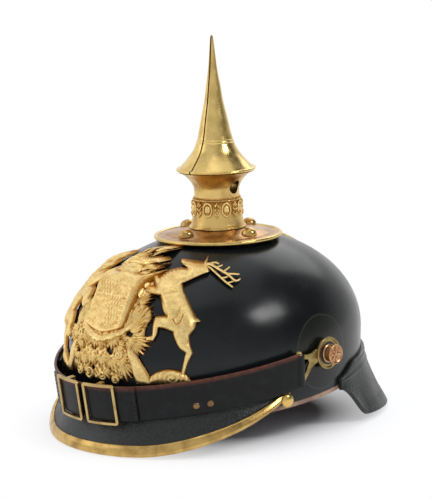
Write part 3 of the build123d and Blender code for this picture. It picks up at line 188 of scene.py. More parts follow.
@dataclass(frozen=True)
class LacqueredLeather(Finish):
    """Boiled leather under black lacquer: deep, even black with a soft wide gloss."""

    name: str = "lacquered_leather"
    colour: str = "#0b0d0e"
    lighter: str = "#15191a"
    olive: str = "#171a12"
    outline: str = "#3a3c34"
    badge_y: float = 5.0
    badge_z: float = 55.2
    badge_radius: float = 25.0

    def draw(self, add: Adder, place: Socket) -> tuple[dict, tuple]:
        """Adds clouded black, fine rubbed lines and the trace of a round badge on the wearer's left."""
        base = self.over(
            add, self.cloud(add, place, 55.0, 3.0, (0.35, 0), (0.7, 1)), self.colour, self.lighter
        )
        left_side = add("Math", {"operation": "GREATER_THAN", 0: add("SeparateXYZ", {0: place}), 1: 0.0})
        # From here the badge's middle is the origin and lengths are in millimetres
        centred = {"Vector": place, "Location": (0, -self.badge_y, -self.badge_z), "Scale": (0, 1000, 1000)}
        away = add("VectorMath", {"operation": "LENGTH", 0: add("Mapping", centred)}).outputs["Value"]
        soft = add("TexNoise", {"Vector": place, "size": 9.0, "Detail": 3.0})
        ragged = add("Math", {"operation": "MULTIPLY_ADD", 0: soft, 1: 1.2, 2: away})
        ring = add("Math", {"operation": "SUBTRACT", 0: ragged, 1: self.badge_radius})
        line = add("Math", {"operation": "ABSOLUTE", 0: ring})
        inside = add("Math", {"operation": "MULTIPLY", 0: away, 1: 0.02})
        for amount, stops, colour in (
            (inside, ((0.46, 0.6), (0.5, 0)), self.olive),
            (line, ((0.25, 0.35), (0.9, 0)), self.outline),
        ):
            faded = add("ValToRGB", {"Fac": amount, "stops": stops})
            held = add("Math", {"operation": "MULTIPLY", 0: faded, 1: left_side})
            base = self.over(add, held, base, colour)
        rub = self.cloud(add, place, 18.0, 6.0, (0.3, 0.2), (0.75, 0.3))
        inputs = {"Base Color": base, "Roughness": rub, "Specular IOR Level": 0.3}
        return inputs, (((14.0, 2.0), 0.25, 0.25), ((1.6, 5.0), 0.12, 0.05))


@dataclass(frozen=True)
class GrainedLeather(Finish):
    """Skirt leather with a pebbled grain under thin black lacquer: matte, with tiny glints painted on the
    pebble tops.
    """

    name: str = "grained_leather"
    colour: str = "#0c0e0e"
    # Colour of the painted highlight on the pebble tops
    lighter: str = "#2b302e"
    roughness: float = 0.38
    pebble: float = 1.5

    def draw(self, add: Adder, place: Socket) -> tuple[dict, tuple]:
        """Adds pebbles with a painted highlight on their tops, and wider creases."""
        pebbles = add("TexVoronoi", {"Vector": place, "size": self.pebble})
        # Painted highlight: the pebbles' tops take the lighter colour
        pebble_highlight = add("ValToRGB", {"Fac": pebbles, "stops": ((0.15, 0.5), (0.7, 0))})
        low, high = self.roughness - 0.07, self.roughness + 0.1
        inputs = {
            "Base Color": self.over(add, pebble_highlight, self.colour, self.lighter),
            "Roughness": self.cloud(add, place, 25.0, 4.0, (0.3, low), (0.7, high)),
            "Specular IOR Level": 0.5,
        }
        return inputs, (((6.0, 3.0), 0.35, 0.3), (pebbles, 0.8, 0.2))


@dataclass(frozen=True)
class RawLeather(Finish):
    """Vegetable-tanned leather with no lacquer: warm brown, dry, darker where it is handled."""

    name: str = "raw_leather"
    colour: str = "#6b3a22"
    darker: str = "#35170d"
    roughness: float = 0.62

    def draw(self, add: Adder, place: Socket) -> tuple[dict, tuple]:
        """Adds stains of 20 mm and fibres of 0.7 mm."""
        stain = self.cloud(add, place, 20.0, 5.0, (0.32, 0), (0.68, 1))
        inputs = {
            "Base Color": self.over(add, stain, self.darker, self.colour),
            "Roughness": self.roughness,
            "Specular IOR Level": 0.3,
        }
        return inputs, (((0.7, 4.0), 0.5, 0.12), ((7.0, 3.0), 0.3, 0.3))


@dataclass(frozen=True)
class StrapLeather(Finish):
    """Waxed harness leather: black faces with short creases, and a bare reddish-brown edge."""

    name: str = "strap_leather"
    colour: str = "#0b0c0d"
    worn: str = "#1a1b1c"
    edge: str = "#633727"

    def draw(self, add: Adder, place: Socket) -> tuple[dict, tuple]:
        """Adds the edge colour from the piece's own attribute, creases across and rubbed spots."""
        edge = add("Attribute", {"attribute_name": "raw_edge"}).outputs["Fac"]
        rub = self.cloud(add, place, 7.0, 6.0, (0.5, 0), (0.78, 1))
        fleck = self.cloud(add, place, 3.0, 3.0, (0.4, 0.55), (0.7, 1))
        bare = add("Math", {"operation": "MULTIPLY", 0: edge, 1: fleck})
        inputs = {
            "Base Color": self.over(add, bare, self.over(add, rub, self.colour, self.worn), self.edge),
            "Roughness": add("ValToRGB", {"Fac": rub, "stops": ((0, 0.36), (1, 0.52))}),
            "Specular IOR Level": 0.22,
        }
        stretched = add("Mapping", {"Vector": place, "Scale": (1.0, 1.0, 0.25)})
        creases = add("TexNoise", {"Vector": stretched, "size": 1.8, "Detail": 4.0})
        return inputs, ((creases, 0.35, 0.16), ((9.0, 3.0), 0.3, 0.3))


@dataclass(frozen=True)
class PolishedBrass(Finish):
    """Spun and hand-polished brass: warm mirror with brown tarnish left in clouds."""

    name: str = "polished_brass"
    colour: str = "#dcba6c"
    tarnish: str = "#96692c"
    amount: float = 0.6
    roughness: float = 0.2
    seam_azimuth: float | None = None
    seam_colour: str = "#4a2a12"
    seam_half: float = 0.6

    def draw(self, add: Adder, place: Socket) -> tuple[dict, tuple]:
        """Adds tarnish clouds of 9 mm, polish lines of 0.5 mm and, on the spike, its soldered seam."""
        cloud = self.cloud(add, place, 9.0, 7.0, (0.42, 0), (0.74, self.amount))
        shade = self.over(add, cloud, self.colour, self.tarnish)
        if self.seam_azimuth is not None:
            turn = radians(self.seam_azimuth)
            aside, ahead = (
                add("VectorMath", {"operation": "DOT_PRODUCT", 0: place, 1: way}).outputs["Value"]
                for way in ((cos(turn), sin(turn), 0), (sin(turn), -cos(turn), 0))
            )
            width = add("Math", {"operation": "ABSOLUTE", 0: aside})
            near = add("Math", {"operation": "LESS_THAN", 0: width, 1: self.seam_half * MM})
            front = add("Math", {"operation": "GREATER_THAN", 0: ahead, 1: 0.0})
            seam = add("Math", {"operation": "MULTIPLY", 0: near, 1: front})
            shade = self.over(add, seam, shade, self.seam_colour)
        low, high = self.roughness - 0.05, self.roughness + 0.14
        inputs = {
            "Base Color": shade,
            "Metallic": 1.0,
            "Roughness": self.cloud(add, place, 5.0, 6.0, (0.3, low), (0.75, high)),
        }
        along = add("Mapping", {"Vector": place, "Scale": (0.15, 0.15, 1.0)})
        lines = add("TexNoise", {"Vector": along, "size": 0.5, "Detail": 3.0})
        return inputs, (((12.0, 3.0), 0.12, 0.2), (lines, 0.06, 0.03))


@dataclass(frozen=True)
class GiltBrass(Finish):
    """Stamped brass with fire gilding: matte and bright yellow, with orange painted shade in the hollows.
    """

    name: str = "gilt_brass"
    colour: str = "#f8dc96"
    # Colour of the painted shade in the hollows
    hollow: str = "#b37b30"
    roughness: float = 0.42

    def draw(self, add: Adder, place: Socket) -> tuple[dict, tuple]:
        """Adds painted shade in the hollows, from the piece's depth attribute, and a 0.6 mm matting grain.
        """
        # The hollow attribute paints shade into the hollows; the clouds and pits add the gilding's own
        # uneven tone
        shade_and_grain = add("Attribute", {"attribute_name": "hollow"}).outputs["Fac"]
        cells = add("TexVoronoi", {"Vector": place, "size": 1.4})
        pits = add("ValToRGB", {"Fac": cells, "stops": ((0.1, 0.32), (0.6, 0))})
        for layer in (self.cloud(add, place, 5.0, 5.0, (0.42, 0), (0.78, 0.4)), pits):
            shade_and_grain = add("Math", {"operation": "ADD", 0: shade_and_grain, 1: layer})
        amount = add("Math", {"operation": "MINIMUM", 0: shade_and_grain, 1: 1.0})
        low, high = self.roughness - 0.06, self.roughness + 0.12
        inputs = {
            "Base Color": self.over(add, amount, self.colour, self.hollow),
            "Metallic": 1.0,
            "Roughness": self.cloud(add, place, 2.5, 4.0, (0.3, low), (0.75, high)),
        }
        return inputs, (((2.4, 2.0), 0.3, 0.18), ((0.6, 3.0), 0.6, 0.12))


@dataclass(frozen=True)
class PlainMetal(Finish):
    """Cast or forged fittings: copper rivets, satin cast brass and blackened iron."""

    name: str = "plain_metal"
    colour: str = "#b0703f"
    darker: str = "#6b3a1c"
    roughness: float = 0.34

    def draw(self, add: Adder, place: Socket) -> tuple[dict, tuple]:
        """Adds clouds of 4 mm and a cast skin."""
        cloud = self.cloud(add, place, 4.0, 5.0, (0.4, 0), (0.7, 0.6))
        shade = self.over(add, cloud, self.colour, self.darker)
        inputs = {"Base Color": shade, "Metallic": 1.0, "Roughness": self.roughness}
        return inputs, (((0.8, 3.0), 0.25, 0.06),)


@dataclass(frozen=True)
class WaxedThread(Finish):
    """Twisted linen thread or cord, waxed: dull, with a band for each turn of the twist."""

    name: str = "waxed_thread"
    colour: str = "#141312"
    lighter: str = "#2a2825"
    pitch: float = 0.8

    def draw(self, add: Adder, place: Socket) -> tuple[dict, tuple]:
        """Adds the twist as bands of the thread's pitch."""
        # The wave texture multiplies by 20 itself, which this undoes
        wave = {"Vector": place, "size": self.pitch * 20, "Distortion": 2.0}
        twist = add("TexWave", wave).outputs["Fac"]
        shade = self.over(add, twist, self.colour, self.lighter)
        return {"Base Color": shade, "Roughness": 0.6}, ((twist, 0.5, 0.1),)


SKULL = LacqueredLeather()
SKIRT = GrainedLeather()
BAND = RawLeather("raw_leather", "#a58770", "#5a4233")
LINING = RawLeather("liner_leather", "#4d2717", "#22100a", 0.68)
PAD = RawLeather("pad_leather", "#7a5234", "#4a2c18", 0.7)
STRAP = StrapLeather()
NECK_BRASS = PolishedBrass("neck_brass", "#e2c078", "#8f642c", 0.8, 0.3)
RIM_BRASS = PolishedBrass("rim_brass", "#dcbf78", "#96692c", 0.4, 0.22)
RIVET = PlainMetal("dull_copper", "#8f7050", "#4a3323", 0.42)
SPIKE_BRASS = PolishedBrass("spike_brass", "#e8ca80", "#a0752f", 0.5, 0.22, 5.0)
BRASS = PolishedBrass()
DISC_BRASS = PolishedBrass("disc_brass", "#bd9260", "#7d522c", 0.8, 0.26)
TRIM_BRASS = PolishedBrass("trim_brass", "#d0ad68", "#7f5a2c", 0.7, 0.22)
STUD_BRASS = PolishedBrass("stud_brass", "#d2ad6a", "#6a4024", 0.6, 0.2)
BUCKLE_BRASS = PolishedBrass("buckle_brass", "#c7ac74", "#7d6036", 0.6, 0.3)
HANGER_BRASS = PolishedBrass("hanger_brass", "#a8935f", "#4e4326", 0.8, 0.3)
GILT = GiltBrass()
ROSETTE_GILT = PlainMetal("rosette_gilt", "#cda27a", "#8a5a36", 0.3)
CAST = PlainMetal("cast_brass", "#b58b4c", "#7a5526", 0.4)
IRON = PlainMetal("blackened_iron", "#3a3836", "#1b1a19", 0.5)
THREAD = WaxedThread()
CORD = WaxedThread("liner_cord", "#6d5d42", "#988565", 1.2)


# Modelling tools


def clear_selection() -> None:
    """Deselects everything, in object mode."""
    if bpy.context.object is not None and bpy.context.object.mode != "OBJECT":
        bpy.ops.object.mode_set(mode="OBJECT")
    bpy.ops.object.select_all(action="DESELECT")


def choose(piece: Piece) -> None:
    """Selects one piece alone and makes it active."""
    clear_selection()
    piece.select_set(True)
    bpy.context.view_layer.objects.active = piece


def begin(primitive: Callable, stretch: Sequence[float] = (), **sizes: object) -> Piece:
    """Adds a primitive with nothing else selected.

    Args:
        primitive: the operator that adds it.
        stretch: its scale along each axis in millimetres, where it isn't left as it is added.
        sizes: the operator's settings.

    Returns:
        The new piece.
    """
    clear_selection()
    primitive(**sizes)
    made = bpy.context.object
    if stretch:
        made.scale = [along * MM for along in stretch]
        apply_place(made)
    return made


def show(name: str, data: bpy.types.ID) -> Piece:
    """Puts a mesh, lamp or camera in the scene.

    Args:
        name: the piece's name.
        data: its mesh, lamp or camera.

    Returns:
        The new object.
    """
    made = bpy.data.objects.new(name, data)
    bpy.context.scene.collection.objects.link(made)
    return made


def edit_all(piece: Piece) -> None:
    """Opens a piece in edit mode with all of it selected."""
    choose(piece)
    bpy.ops.object.mode_set(mode="EDIT")
    bpy.ops.mesh.select_all(action="SELECT")


def close_edit() -> None:
    """Leaves edit mode."""
    bpy.ops.object.mode_set(mode="OBJECT")


def apply_place(piece: Piece) -> None:
    """Moves a piece's place, turn and size into its mesh."""
    choose(piece)
    bpy.ops.object.transform_apply(location=True, rotation=True, scale=True)


def tidy_mesh(piece: Piece, distance: float = 0.01) -> None:
    """Merges doubles and points every face outwards.

    Args:
        piece: the piece.
        distance: points closer than this are one, in millimetres.
    """
    edit_all(piece)
    bpy.ops.mesh.remove_doubles(threshold=distance * MM)
    bpy.ops.mesh.normals_make_consistent(inside=False)
    close_edit()


def from_points(name: str, points: Sequence[Sequence[float]], faces: Sequence[Sequence[int]]) -> Piece:
    """Makes a piece from points in millimetres.

    Args:
        name: the piece's name.
        points: places in millimetres.
        faces: corner numbers of each face.

    Returns:
        The new piece.
    """
    mesh = bpy.data.meshes.new(name)
    mesh.from_pydata(
        [tuple(float(c) * MM for c in p) for p in points], [], [tuple(int(i) for i in f) for f in faces]
    )
    return show(name, mesh)


def sweep(name: str, sections: np.ndarray, closed: bool = False) -> Piece:
    """Skins a row of closed cross-sections, with ends filled unless the row is closed.

    Args:
        name: the piece's name.
        sections: array of stations by points by three, in millimetres.
        closed: whether the last section joins the first.

    Returns:
        The new piece, with outward faces.
    """
    stations, around = sections.shape[:2]
    faces = []
    for row in range(stations if closed else stations - 1):
        onward = (row + 1) % stations
        for at in range(around):
            beside = (at + 1) % around
            here, there = row * around, onward * around
            faces.append((here + at, here + beside, there + beside, there + at))
    if not closed:
        faces.append(tuple(range(around)))
        faces.append(tuple((stations - 1) * around + at for at in reversed(range(around))))
    made = from_points(name, sections.reshape(-1, 3), faces)
    tidy_mesh(made)
    return made


def lathe(name: str, profile: Sequence[Flat], steps: int = 96) -> Piece:
    """Spins a profile round the spike's axis.

    Args:
        name: the piece's name.
        profile: radius and height of each point, in millimetres.
        steps: number of facets round.

    Returns:
        The new piece, with outward faces.
    """
    mesh = bpy.data.meshes.new(name)
    points = [(radius * MM, 0.0, height * MM) for radius, height in profile]
    mesh.from_pydata(points, [(at, at + 1) for at in range(len(points) - 1)], [])
    made = show(name, mesh)
    edit_all(made)
    bpy.ops.mesh.spin(steps=steps, angle=ROUND, center=(0, 0, 0), axis=(0, 0, 1))
    close_edit()
    tidy_mesh(made, 0.005)
    return made


def rolled(
    profile: Sequence[Flat], centre: Flat, radius: float, start: float, end: float, count: int = 10
) -> list[Flat]:
    """Adds an arc to a profile.

    Args:
        profile: the points so far.
        centre: the arc's centre.
        radius: its radius.
        start: first angle in degrees, 0 outwards and 90 up.
        end: last angle.
        count: number of points.

    Returns:
        The longer profile.
    """
    arc = []
    for at in range(count):
        turn = radians(start + (end - start) * at / (count - 1))
        arc.append((centre[0] + radius * cos(turn), centre[1] + radius * sin(turn)))
    return [*profile, *arc]


def smooth_line(points: Sequence[Sequence[float]], count: int) -> np.ndarray:
    """A smooth curve through a few points.

    Args:
        points: places it passes, with any number of axes.
        count: number of places returned.

    Returns:
        Array of count places, evenly spread by parameter.
    """
    known = np.asarray(points, float)
    if len(known) == 2:
        share = np.linspace(0, 1, count)[:, None]
        return known[0] * (1 - share) + known[1] * share
    padded = np.vstack([2 * known[0] - known[1], known, 2 * known[-1] - known[-2]])
    stretches = len(known) - 1
    places = np.linspace(0, stretches, count)
    result = []
    for value in places:
        at = min(int(value), stretches - 1)
        t = value - at
        a, b, c, d = padded[at : at + 4]
        square, cube = 2 * a - 5 * b + 4 * c - d, 3 * b - a - 3 * c + d
        result.append(0.5 * (2 * b + (c - a) * t + square * t**2 + cube * t**3))
    return np.array(result)


def solidify(piece: Piece, thickness: float, offset: float = -1.0, even: bool = True) -> None:
    """Gives a sheet its wall, in millimetres; offset -1 keeps the outer face in place.

    Args:
        piece: the sheet.
        thickness: its wall.
        offset: -1 to grow inwards, 0 to grow both ways.
        even: whether corners keep the full thickness.
    """
    choose(piece)
    wall = piece.modifiers.new("wall", "SOLIDIFY")
    wall.thickness, wall.offset, wall.use_even_offset = thickness * MM, offset, even
    bpy.ops.object.modifier_apply(modifier=wall.name)


def bevel(piece: Piece, width: float, segments: int = 3, angle: float = 35.0) -> None:
    """Rounds a piece's sharp edges, in millimetres.

    Args:
        piece: the piece.
        width: width of the rounding.
        segments: facets across it.
        angle: edges sharper than this are rounded, in degrees.
    """
    choose(piece)
    soft = piece.modifiers.new("soft_edges", "BEVEL")
    soft.width, soft.segments = width * MM, segments
    soft.limit_method, soft.angle_limit = "ANGLE", radians(angle)
    bpy.ops.object.modifier_apply(modifier=soft.name)


def cut(piece: Piece, cutter: Piece) -> None:
    """Takes a cutter out of a piece and removes the cutter."""
    choose(piece)
    made = piece.modifiers.new("opening", "BOOLEAN")
    made.operation, made.object, made.solver = "DIFFERENCE", cutter, "EXACT"
    bpy.ops.object.modifier_apply(modifier=made.name)
    bpy.data.objects.remove(cutter)


def join(name: str, parts: Sequence[Piece]) -> Piece:
    """Joins pieces that are one in reality, under one name.

    Args:
        name: the joined piece's name.
        parts: the pieces, the first of which stays.

    Returns:
        The joined piece.
    """
    clear_selection()
    for part in parts:
        part.select_set(True)
    bpy.context.view_layer.objects.active = parts[0]
    if len(parts) > 1:
        bpy.ops.object.join()
    parts[0].name = name
    parts[0].data.name = name
    return parts[0]


def onto(origin: Sequence[float], outward: Sequence[float], up: Sequence[float] = (0, 0, 1)) -> Matrix:
    """Matrix that stands a piece made on z = 0 onto a place.

    Args:
        origin: the place, in millimetres.
        outward: direction of the piece's own z.
        up: rough direction of its own y.

    Returns:
        The matrix, in metres.
    """
    z = Vector(outward).normalized()
    x = Vector(up).cross(z)
    if x.length < 1e-6:
        x = Vector((1, 0, 0))
    x.normalize()
    y = z.cross(x)
    turn = Matrix((x, y, z)).transposed().to_4x4()
    return Matrix.Translation(Vector(origin) * MM) @ turn


def repeat(name: str, piece: Piece, places: Sequence[Matrix]) -> Piece:
    """Copies one small piece to many places as a single piece.

    Args:
        name: the new piece's name.
        piece: the model, removed afterwards.
        places: matrices in metres.

    Returns:
        The piece that holds all copies.
    """
    mesh = bmesh.new()
    for place in places:
        one = piece.data.copy()
        one.transform(place)
        mesh.from_mesh(one)
        bpy.data.meshes.remove(one)
    made = bpy.data.meshes.new(name)
    mesh.to_mesh(made)
    mesh.free()
    bpy.data.objects.remove(piece)
    return show(name, made)


def stud_head(name: str, radius: float, rise: float, shank: float = 2.0) -> Piece:
    """Turns a domed stud with a small flat brim, its seat on z = 0.

    Args:
        name: the piece's name.
        radius: radius of the brim.
        rise: height of the dome.
        shank: length below the seat.

    Returns:
        The stud.
    """
    neck = radius * 0.3
    profile = [(0.0, -shank), (neck, -shank), (neck, 0.0), (radius, 0.0), (radius, rise * 0.12)]
    for at in range(1, 11):
        turn = at / 10 * pi / 2
        profile.append((radius * 0.96 * cos(turn), rise * (0.14 + 0.86 * sin(turn))))
    return lathe(name, profile, 32)


def stitch_row(
    name: str, line: np.ndarray, normals: np.ndarray, length: float, gap: float, width: float = 0.55
) -> Piece:
    """Sews a row of stitches along a line.

    Args:
        name: the piece's name.
        line: places along the seam, in millimetres.
        normals: the leather's outward direction at each.
        length: length of one stitch.
        gap: space between stitches.
        width: thickness of the thread.

    Returns:
        The stitches as one piece.
    """
    one = begin(
        bpy.ops.mesh.primitive_uv_sphere_add, (length, width, width * 0.8), segments=8, ring_count=6,
        radius=0.5,
    )
    steps = np.linalg.norm(np.diff(line, axis=0), axis=1)
    run = np.concatenate([[0], np.cumsum(steps)])
    places = []
    for at in np.arange(length / 2, run[-1] - length / 2, length + gap):
        here = np.array([np.interp(at, run, line[:, k]) for k in range(3)])
        ahead = np.array([np.interp(at + 0.2, run, line[:, k]) for k in range(3)])
        out = Vector([np.interp(at, run, normals[:, k]) for k in range(3)]).normalized()
        forward = Vector(ahead - here).normalized()
        aside = out.cross(forward).normalized()
        turn = Matrix((forward, aside, out)).transposed().to_4x4()
        places.append(Matrix.Translation(Vector(here) * MM) @ turn)
    return repeat(name, one, places)


def note(piece: Piece, name: str, values: Sequence[float]) -> None:
    """Stores one value for each point of a piece, for its finish to read."""
    made = piece.data.attributes.new(name, "FLOAT", "POINT")
    made.data.foreach_set("value", np.asarray(values, dtype=np.float32))


def dress(
    piece: Piece, finish: Finish, nodes: Sequence[
        str
    ] = (), angle: float = 35.0, body: Body = Body.HELMET
) -> Piece:
    """Finishes a piece and ties it to the frame.

    Args:
        piece: the piece.
        finish: its finish.
        nodes: CAD nodes it stands for.
        angle: edges sharper than this stay sharp, in degrees.
        body: the body it rides on.

    Returns:
        The same piece.
    """
    piece.data.materials.clear()
    piece.data.materials.append(finish.material())
    choose(piece)
    bpy.ops.object.shade_smooth_by_angle(angle=radians(angle))
    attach(piece, body.value)
    if nodes:
        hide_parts(*nodes)
    LOG.info("%s: %d faces on %s", piece.name, len(piece.data.polygons), body.value)
    return piece


def dress_node(node: str, finish: Finish) -> None:
    """Gives a CAD node that stays its finish."""
    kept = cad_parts[node]
    kept.data.materials.clear()
    kept.data.materials.append(finish.material())
    choose(kept)
    bpy.ops.object.shade_smooth_by_angle(angle=radians(30))


# The helmet's forms


@dataclass(frozen=True)
class SkullForm:
    """The oval crown and wall that everything follows, in millimetres."""

    half_width: float = 91.0
    half_length: float = 107.5
    wall_top: float = 57.4
    crown: float = 129.0
    lean: float = 0.065
    edge_height: float = 28.0
    edge_rise: float = 0.06
    thickness: float = 3.0

    def centre_y(self, z: float) -> float:
        """Middle of the oval at a height."""
        return -self.lean * (self.crown - z)

    def edge(self, y: float) -> float:
        """Height of the lower edge."""
        return self.edge_height + self.edge_rise * y

    def share(self, z: np.ndarray, grow: np.ndarray) -> np.ndarray:
        """How much of the full oval is left at a height."""
        rise = np.maximum(z - self.wall_top, 0) / (self.crown - self.wall_top + grow)
        return np.sqrt(np.maximum(1 - rise**2, 1e-5))

    def radius(self, azimuth: float, z: float, grow: float = 0.0) -> float:
        """Distance from the spike's axis along an azimuth in degrees.

        Args:
            azimuth: direction in degrees, 0 to the front.
            z: height.
            grow: distance outside the skull's surface.

        Returns:
            The distance in millimetres.
        """
        turn = radians(azimuth)
        share = float(self.share(np.array(z), np.array(grow)))
        wide, long = (self.half_width + grow) * share, (self.half_length + grow) * share
        across, along, middle = sin(turn) / wide, cos(turn) / long, self.centre_y(z) / long
        square = across**2 + along**2
        return (sqrt((along * middle) ** 2 - square * (middle**2 - 1)) - along * middle) / square

    def rear_y(self, z: float, grow: float) -> float:
        """Where the surface meets the rear centre line."""
        return self.centre_y(z) + (self.half_length + grow) * float(self.share(np.array(z), np.array(grow)))

    def cast(self, u: np.ndarray, z: np.ndarray, azimuth: float, grow: np.ndarray) -> np.ndarray:
        """Lays flat places on the grown skull, seen along an azimuth.

        Args:
            u: distance to the wearer's left of the azimuth's line.
            z: heights.
            azimuth: viewing direction in degrees.
            grow: height above the skull at each place.

        Returns:
            Array of places.
        """
        turn = radians(azimuth)
        share = self.share(z, grow)
        wide, long = (self.half_width + grow) * share, (self.half_length + grow) * share
        shift = -self.lean * (self.crown - z)
        px, py = u * cos(turn), u * sin(turn) - shift
        dx, dy = sin(turn), -cos(turn)
        a = (dx / wide) ** 2 + (dy / long) ** 2
        b = px * dx / wide**2 + py * dy / long**2
        c = (px / wide) ** 2 + (py / long) ** 2 - 1
        out = (-b + np.sqrt(np.maximum(b**2 - a * c, 0))) / a
        return np.stack([px + out * dx, py + shift + out * dy, z], axis=-1)

    def normal(self, place: np.ndarray) -> np.ndarray:
        """Outward direction of the surface near each place."""
        place = np.asarray(place, float)
        rise = np.maximum(place[..., 2] - self.wall_top, 0) / (self.crown - self.wall_top) ** 2
        x = place[..., 0] / self.half_width**2
        y = (place[..., 1] + self.lean * (self.crown - place[..., 2])) / self.half_length**2
        made = np.stack([x, y, rise - self.lean * y], axis=-1)
        return made / np.linalg.norm(made, axis=-1, keepdims=True)


FORM = SkullForm()


def smooth_share(value: float) -> float:
    """A smooth step from 0 to 1."""
    held = min(max(value, 0.0), 1.0)
    return held * held * (3 - 2 * held)


def squared(turn: float, power: float) -> Flat:
    """A place on a circle of radius 1 that a power below 1 makes squarer."""
    x, y = cos(turn), sin(turn)
    return copysign(abs(x) ** power, x), copysign(abs(y) ** power, y)


def at_azimuth(azimuth: float, radius: float, z: float) -> np.ndarray:
    """A place from azimuth, radius and height."""
    turn = radians(azimuth)
    return np.array([radius * sin(turn), -radius * cos(turn), z])


@dataclass(frozen=True)
class Skirt:
    """Sizes that the visor and the neck guard share."""

    thickness: float = 2.4
    foot: float = 0.6
    gap: float = 0.05
    guard_gap: float = 0.15
    visor_half: float = 74.0
    guard_half: float = 76.0

    def visor(self, azimuth: float) -> Line:
        """Inner line of the visor: seam top, foot and rim, as radius and height."""
        turn = radians(azimuth)
        wall = FORM.radius(azimuth, FORM.edge_height)
        edge = FORM.edge(-wall * cos(turn))
        fall = 52.0 * (1 - cos(turn)) - 3.5
        rim = (fall + hypot(fall, 3.0)) / 2 - (hypot(3.5, 3.0) - 3.5) / 2
        share = abs(azimuth) / self.visor_half
        reach = 2.6 + (14.5 - 2.6) * (1 - share**4)
        rim += 0.75 * (1 - share**4)
        top = edge + 9.0
        foot = max(edge + self.foot, rim + (top - rim) * 0.4)
        top_radius = FORM.radius(azimuth, top) + self.gap
        foot_radius = FORM.radius(azimuth, foot) + self.gap
        return (top_radius, top), (foot_radius, foot), (wall + reach - self.thickness, rim)

    def guard(self, azimuth: float) -> Line:
        """Inner line of the neck guard."""
        turn = radians(azimuth)
        wall = FORM.radius(azimuth, FORM.edge_height)
        y = -wall * cos(turn)
        edge = FORM.edge(y)
        behind = 180 - abs(azimuth)
        corner = smooth_share((behind - self.guard_half + 15.0) / 15.0)
        level = 6.5 * (1 - smooth_share(y / FORM.half_length))
        rim = level + (26.0 - level) * corner
        reach = 3.0 + 18.0 * (1 - (behind / self.guard_half) ** 3)
        top = edge + 11.0 + (4.5 - 11.0) * corner
        foot = edge + self.foot
        top_radius = FORM.radius(azimuth, top) + self.guard_gap
        foot_radius = FORM.radius(azimuth, foot) + self.guard_gap
        return (top_radius, top), (foot_radius, foot), (wall + reach - self.thickness, rim)

    @staticmethod
    def shifted(line: Line, distance: float) -> Line:
        """The same line moved out, square to the leather.

        Args:
            line: seam top, foot and rim.
            distance: how far to move it, in millimetres.

        Returns:
            The moved line.
        """
        (top_r, top_z), (foot_r, foot_z), (rim_r, rim_z) = line
        length = hypot(rim_r - foot_r, rim_z - foot_z)
        normal_r, normal_z = (foot_z - rim_z) / length, (rim_r - foot_r) / length
        foot = (foot_r + distance, foot_z + distance * normal_z / (1 + normal_r))
        return (top_r + distance, top_z), foot, (rim_r + distance * normal_r, rim_z + distance * normal_z)

    @staticmethod
    def curve(line: Line, count: int) -> np.ndarray:
        """Places along the curved line, as radius and height."""
        first, second, third = (np.array(p) for p in line)
        t = np.linspace(0, 1, count)[:, None]
        return (1 - t) ** 2 * first + 2 * t * (1 - t) * second + t**2 * third

    def section(
        self, line: Line, azimuth: float, raised: Callable[[np.ndarray], np.ndarray] | None = None
    ) -> np.ndarray:
        """A closed cross-section of the leather with rounded edges.

        Args:
            line: its inner line.
            azimuth: where it stands, in degrees.
            raised: extra height of the outer face by its share from seam to rim.

        Returns:
            Places round the section.
        """
        inner = self.curve(line, 26)
        middle = self.curve(self.shifted(line, self.thickness / 2), 26)
        outer = self.curve(self.shifted(line, self.thickness), 26)
        if raised is not None:
            lift = raised(np.linspace(0, 1, 26))[:, None]
            away = outer - middle
            outer = outer + away / np.linalg.norm(away, axis=1)[:, None] * lift
        ends = []
        for at, step in ((0, 1), (-1, -2)):
            direction = middle[at] - middle[step]
            direction = direction / np.linalg.norm(direction)
            ends.append([middle[at] + direction * self.thickness * 0.12, direction])
        loop = [*outer, ends[1][0], *inner[::-1], ends[0][0]]
        return np.array([at_azimuth(azimuth, radius, z) for radius, z in loop])


SKIRTS = Skirt()


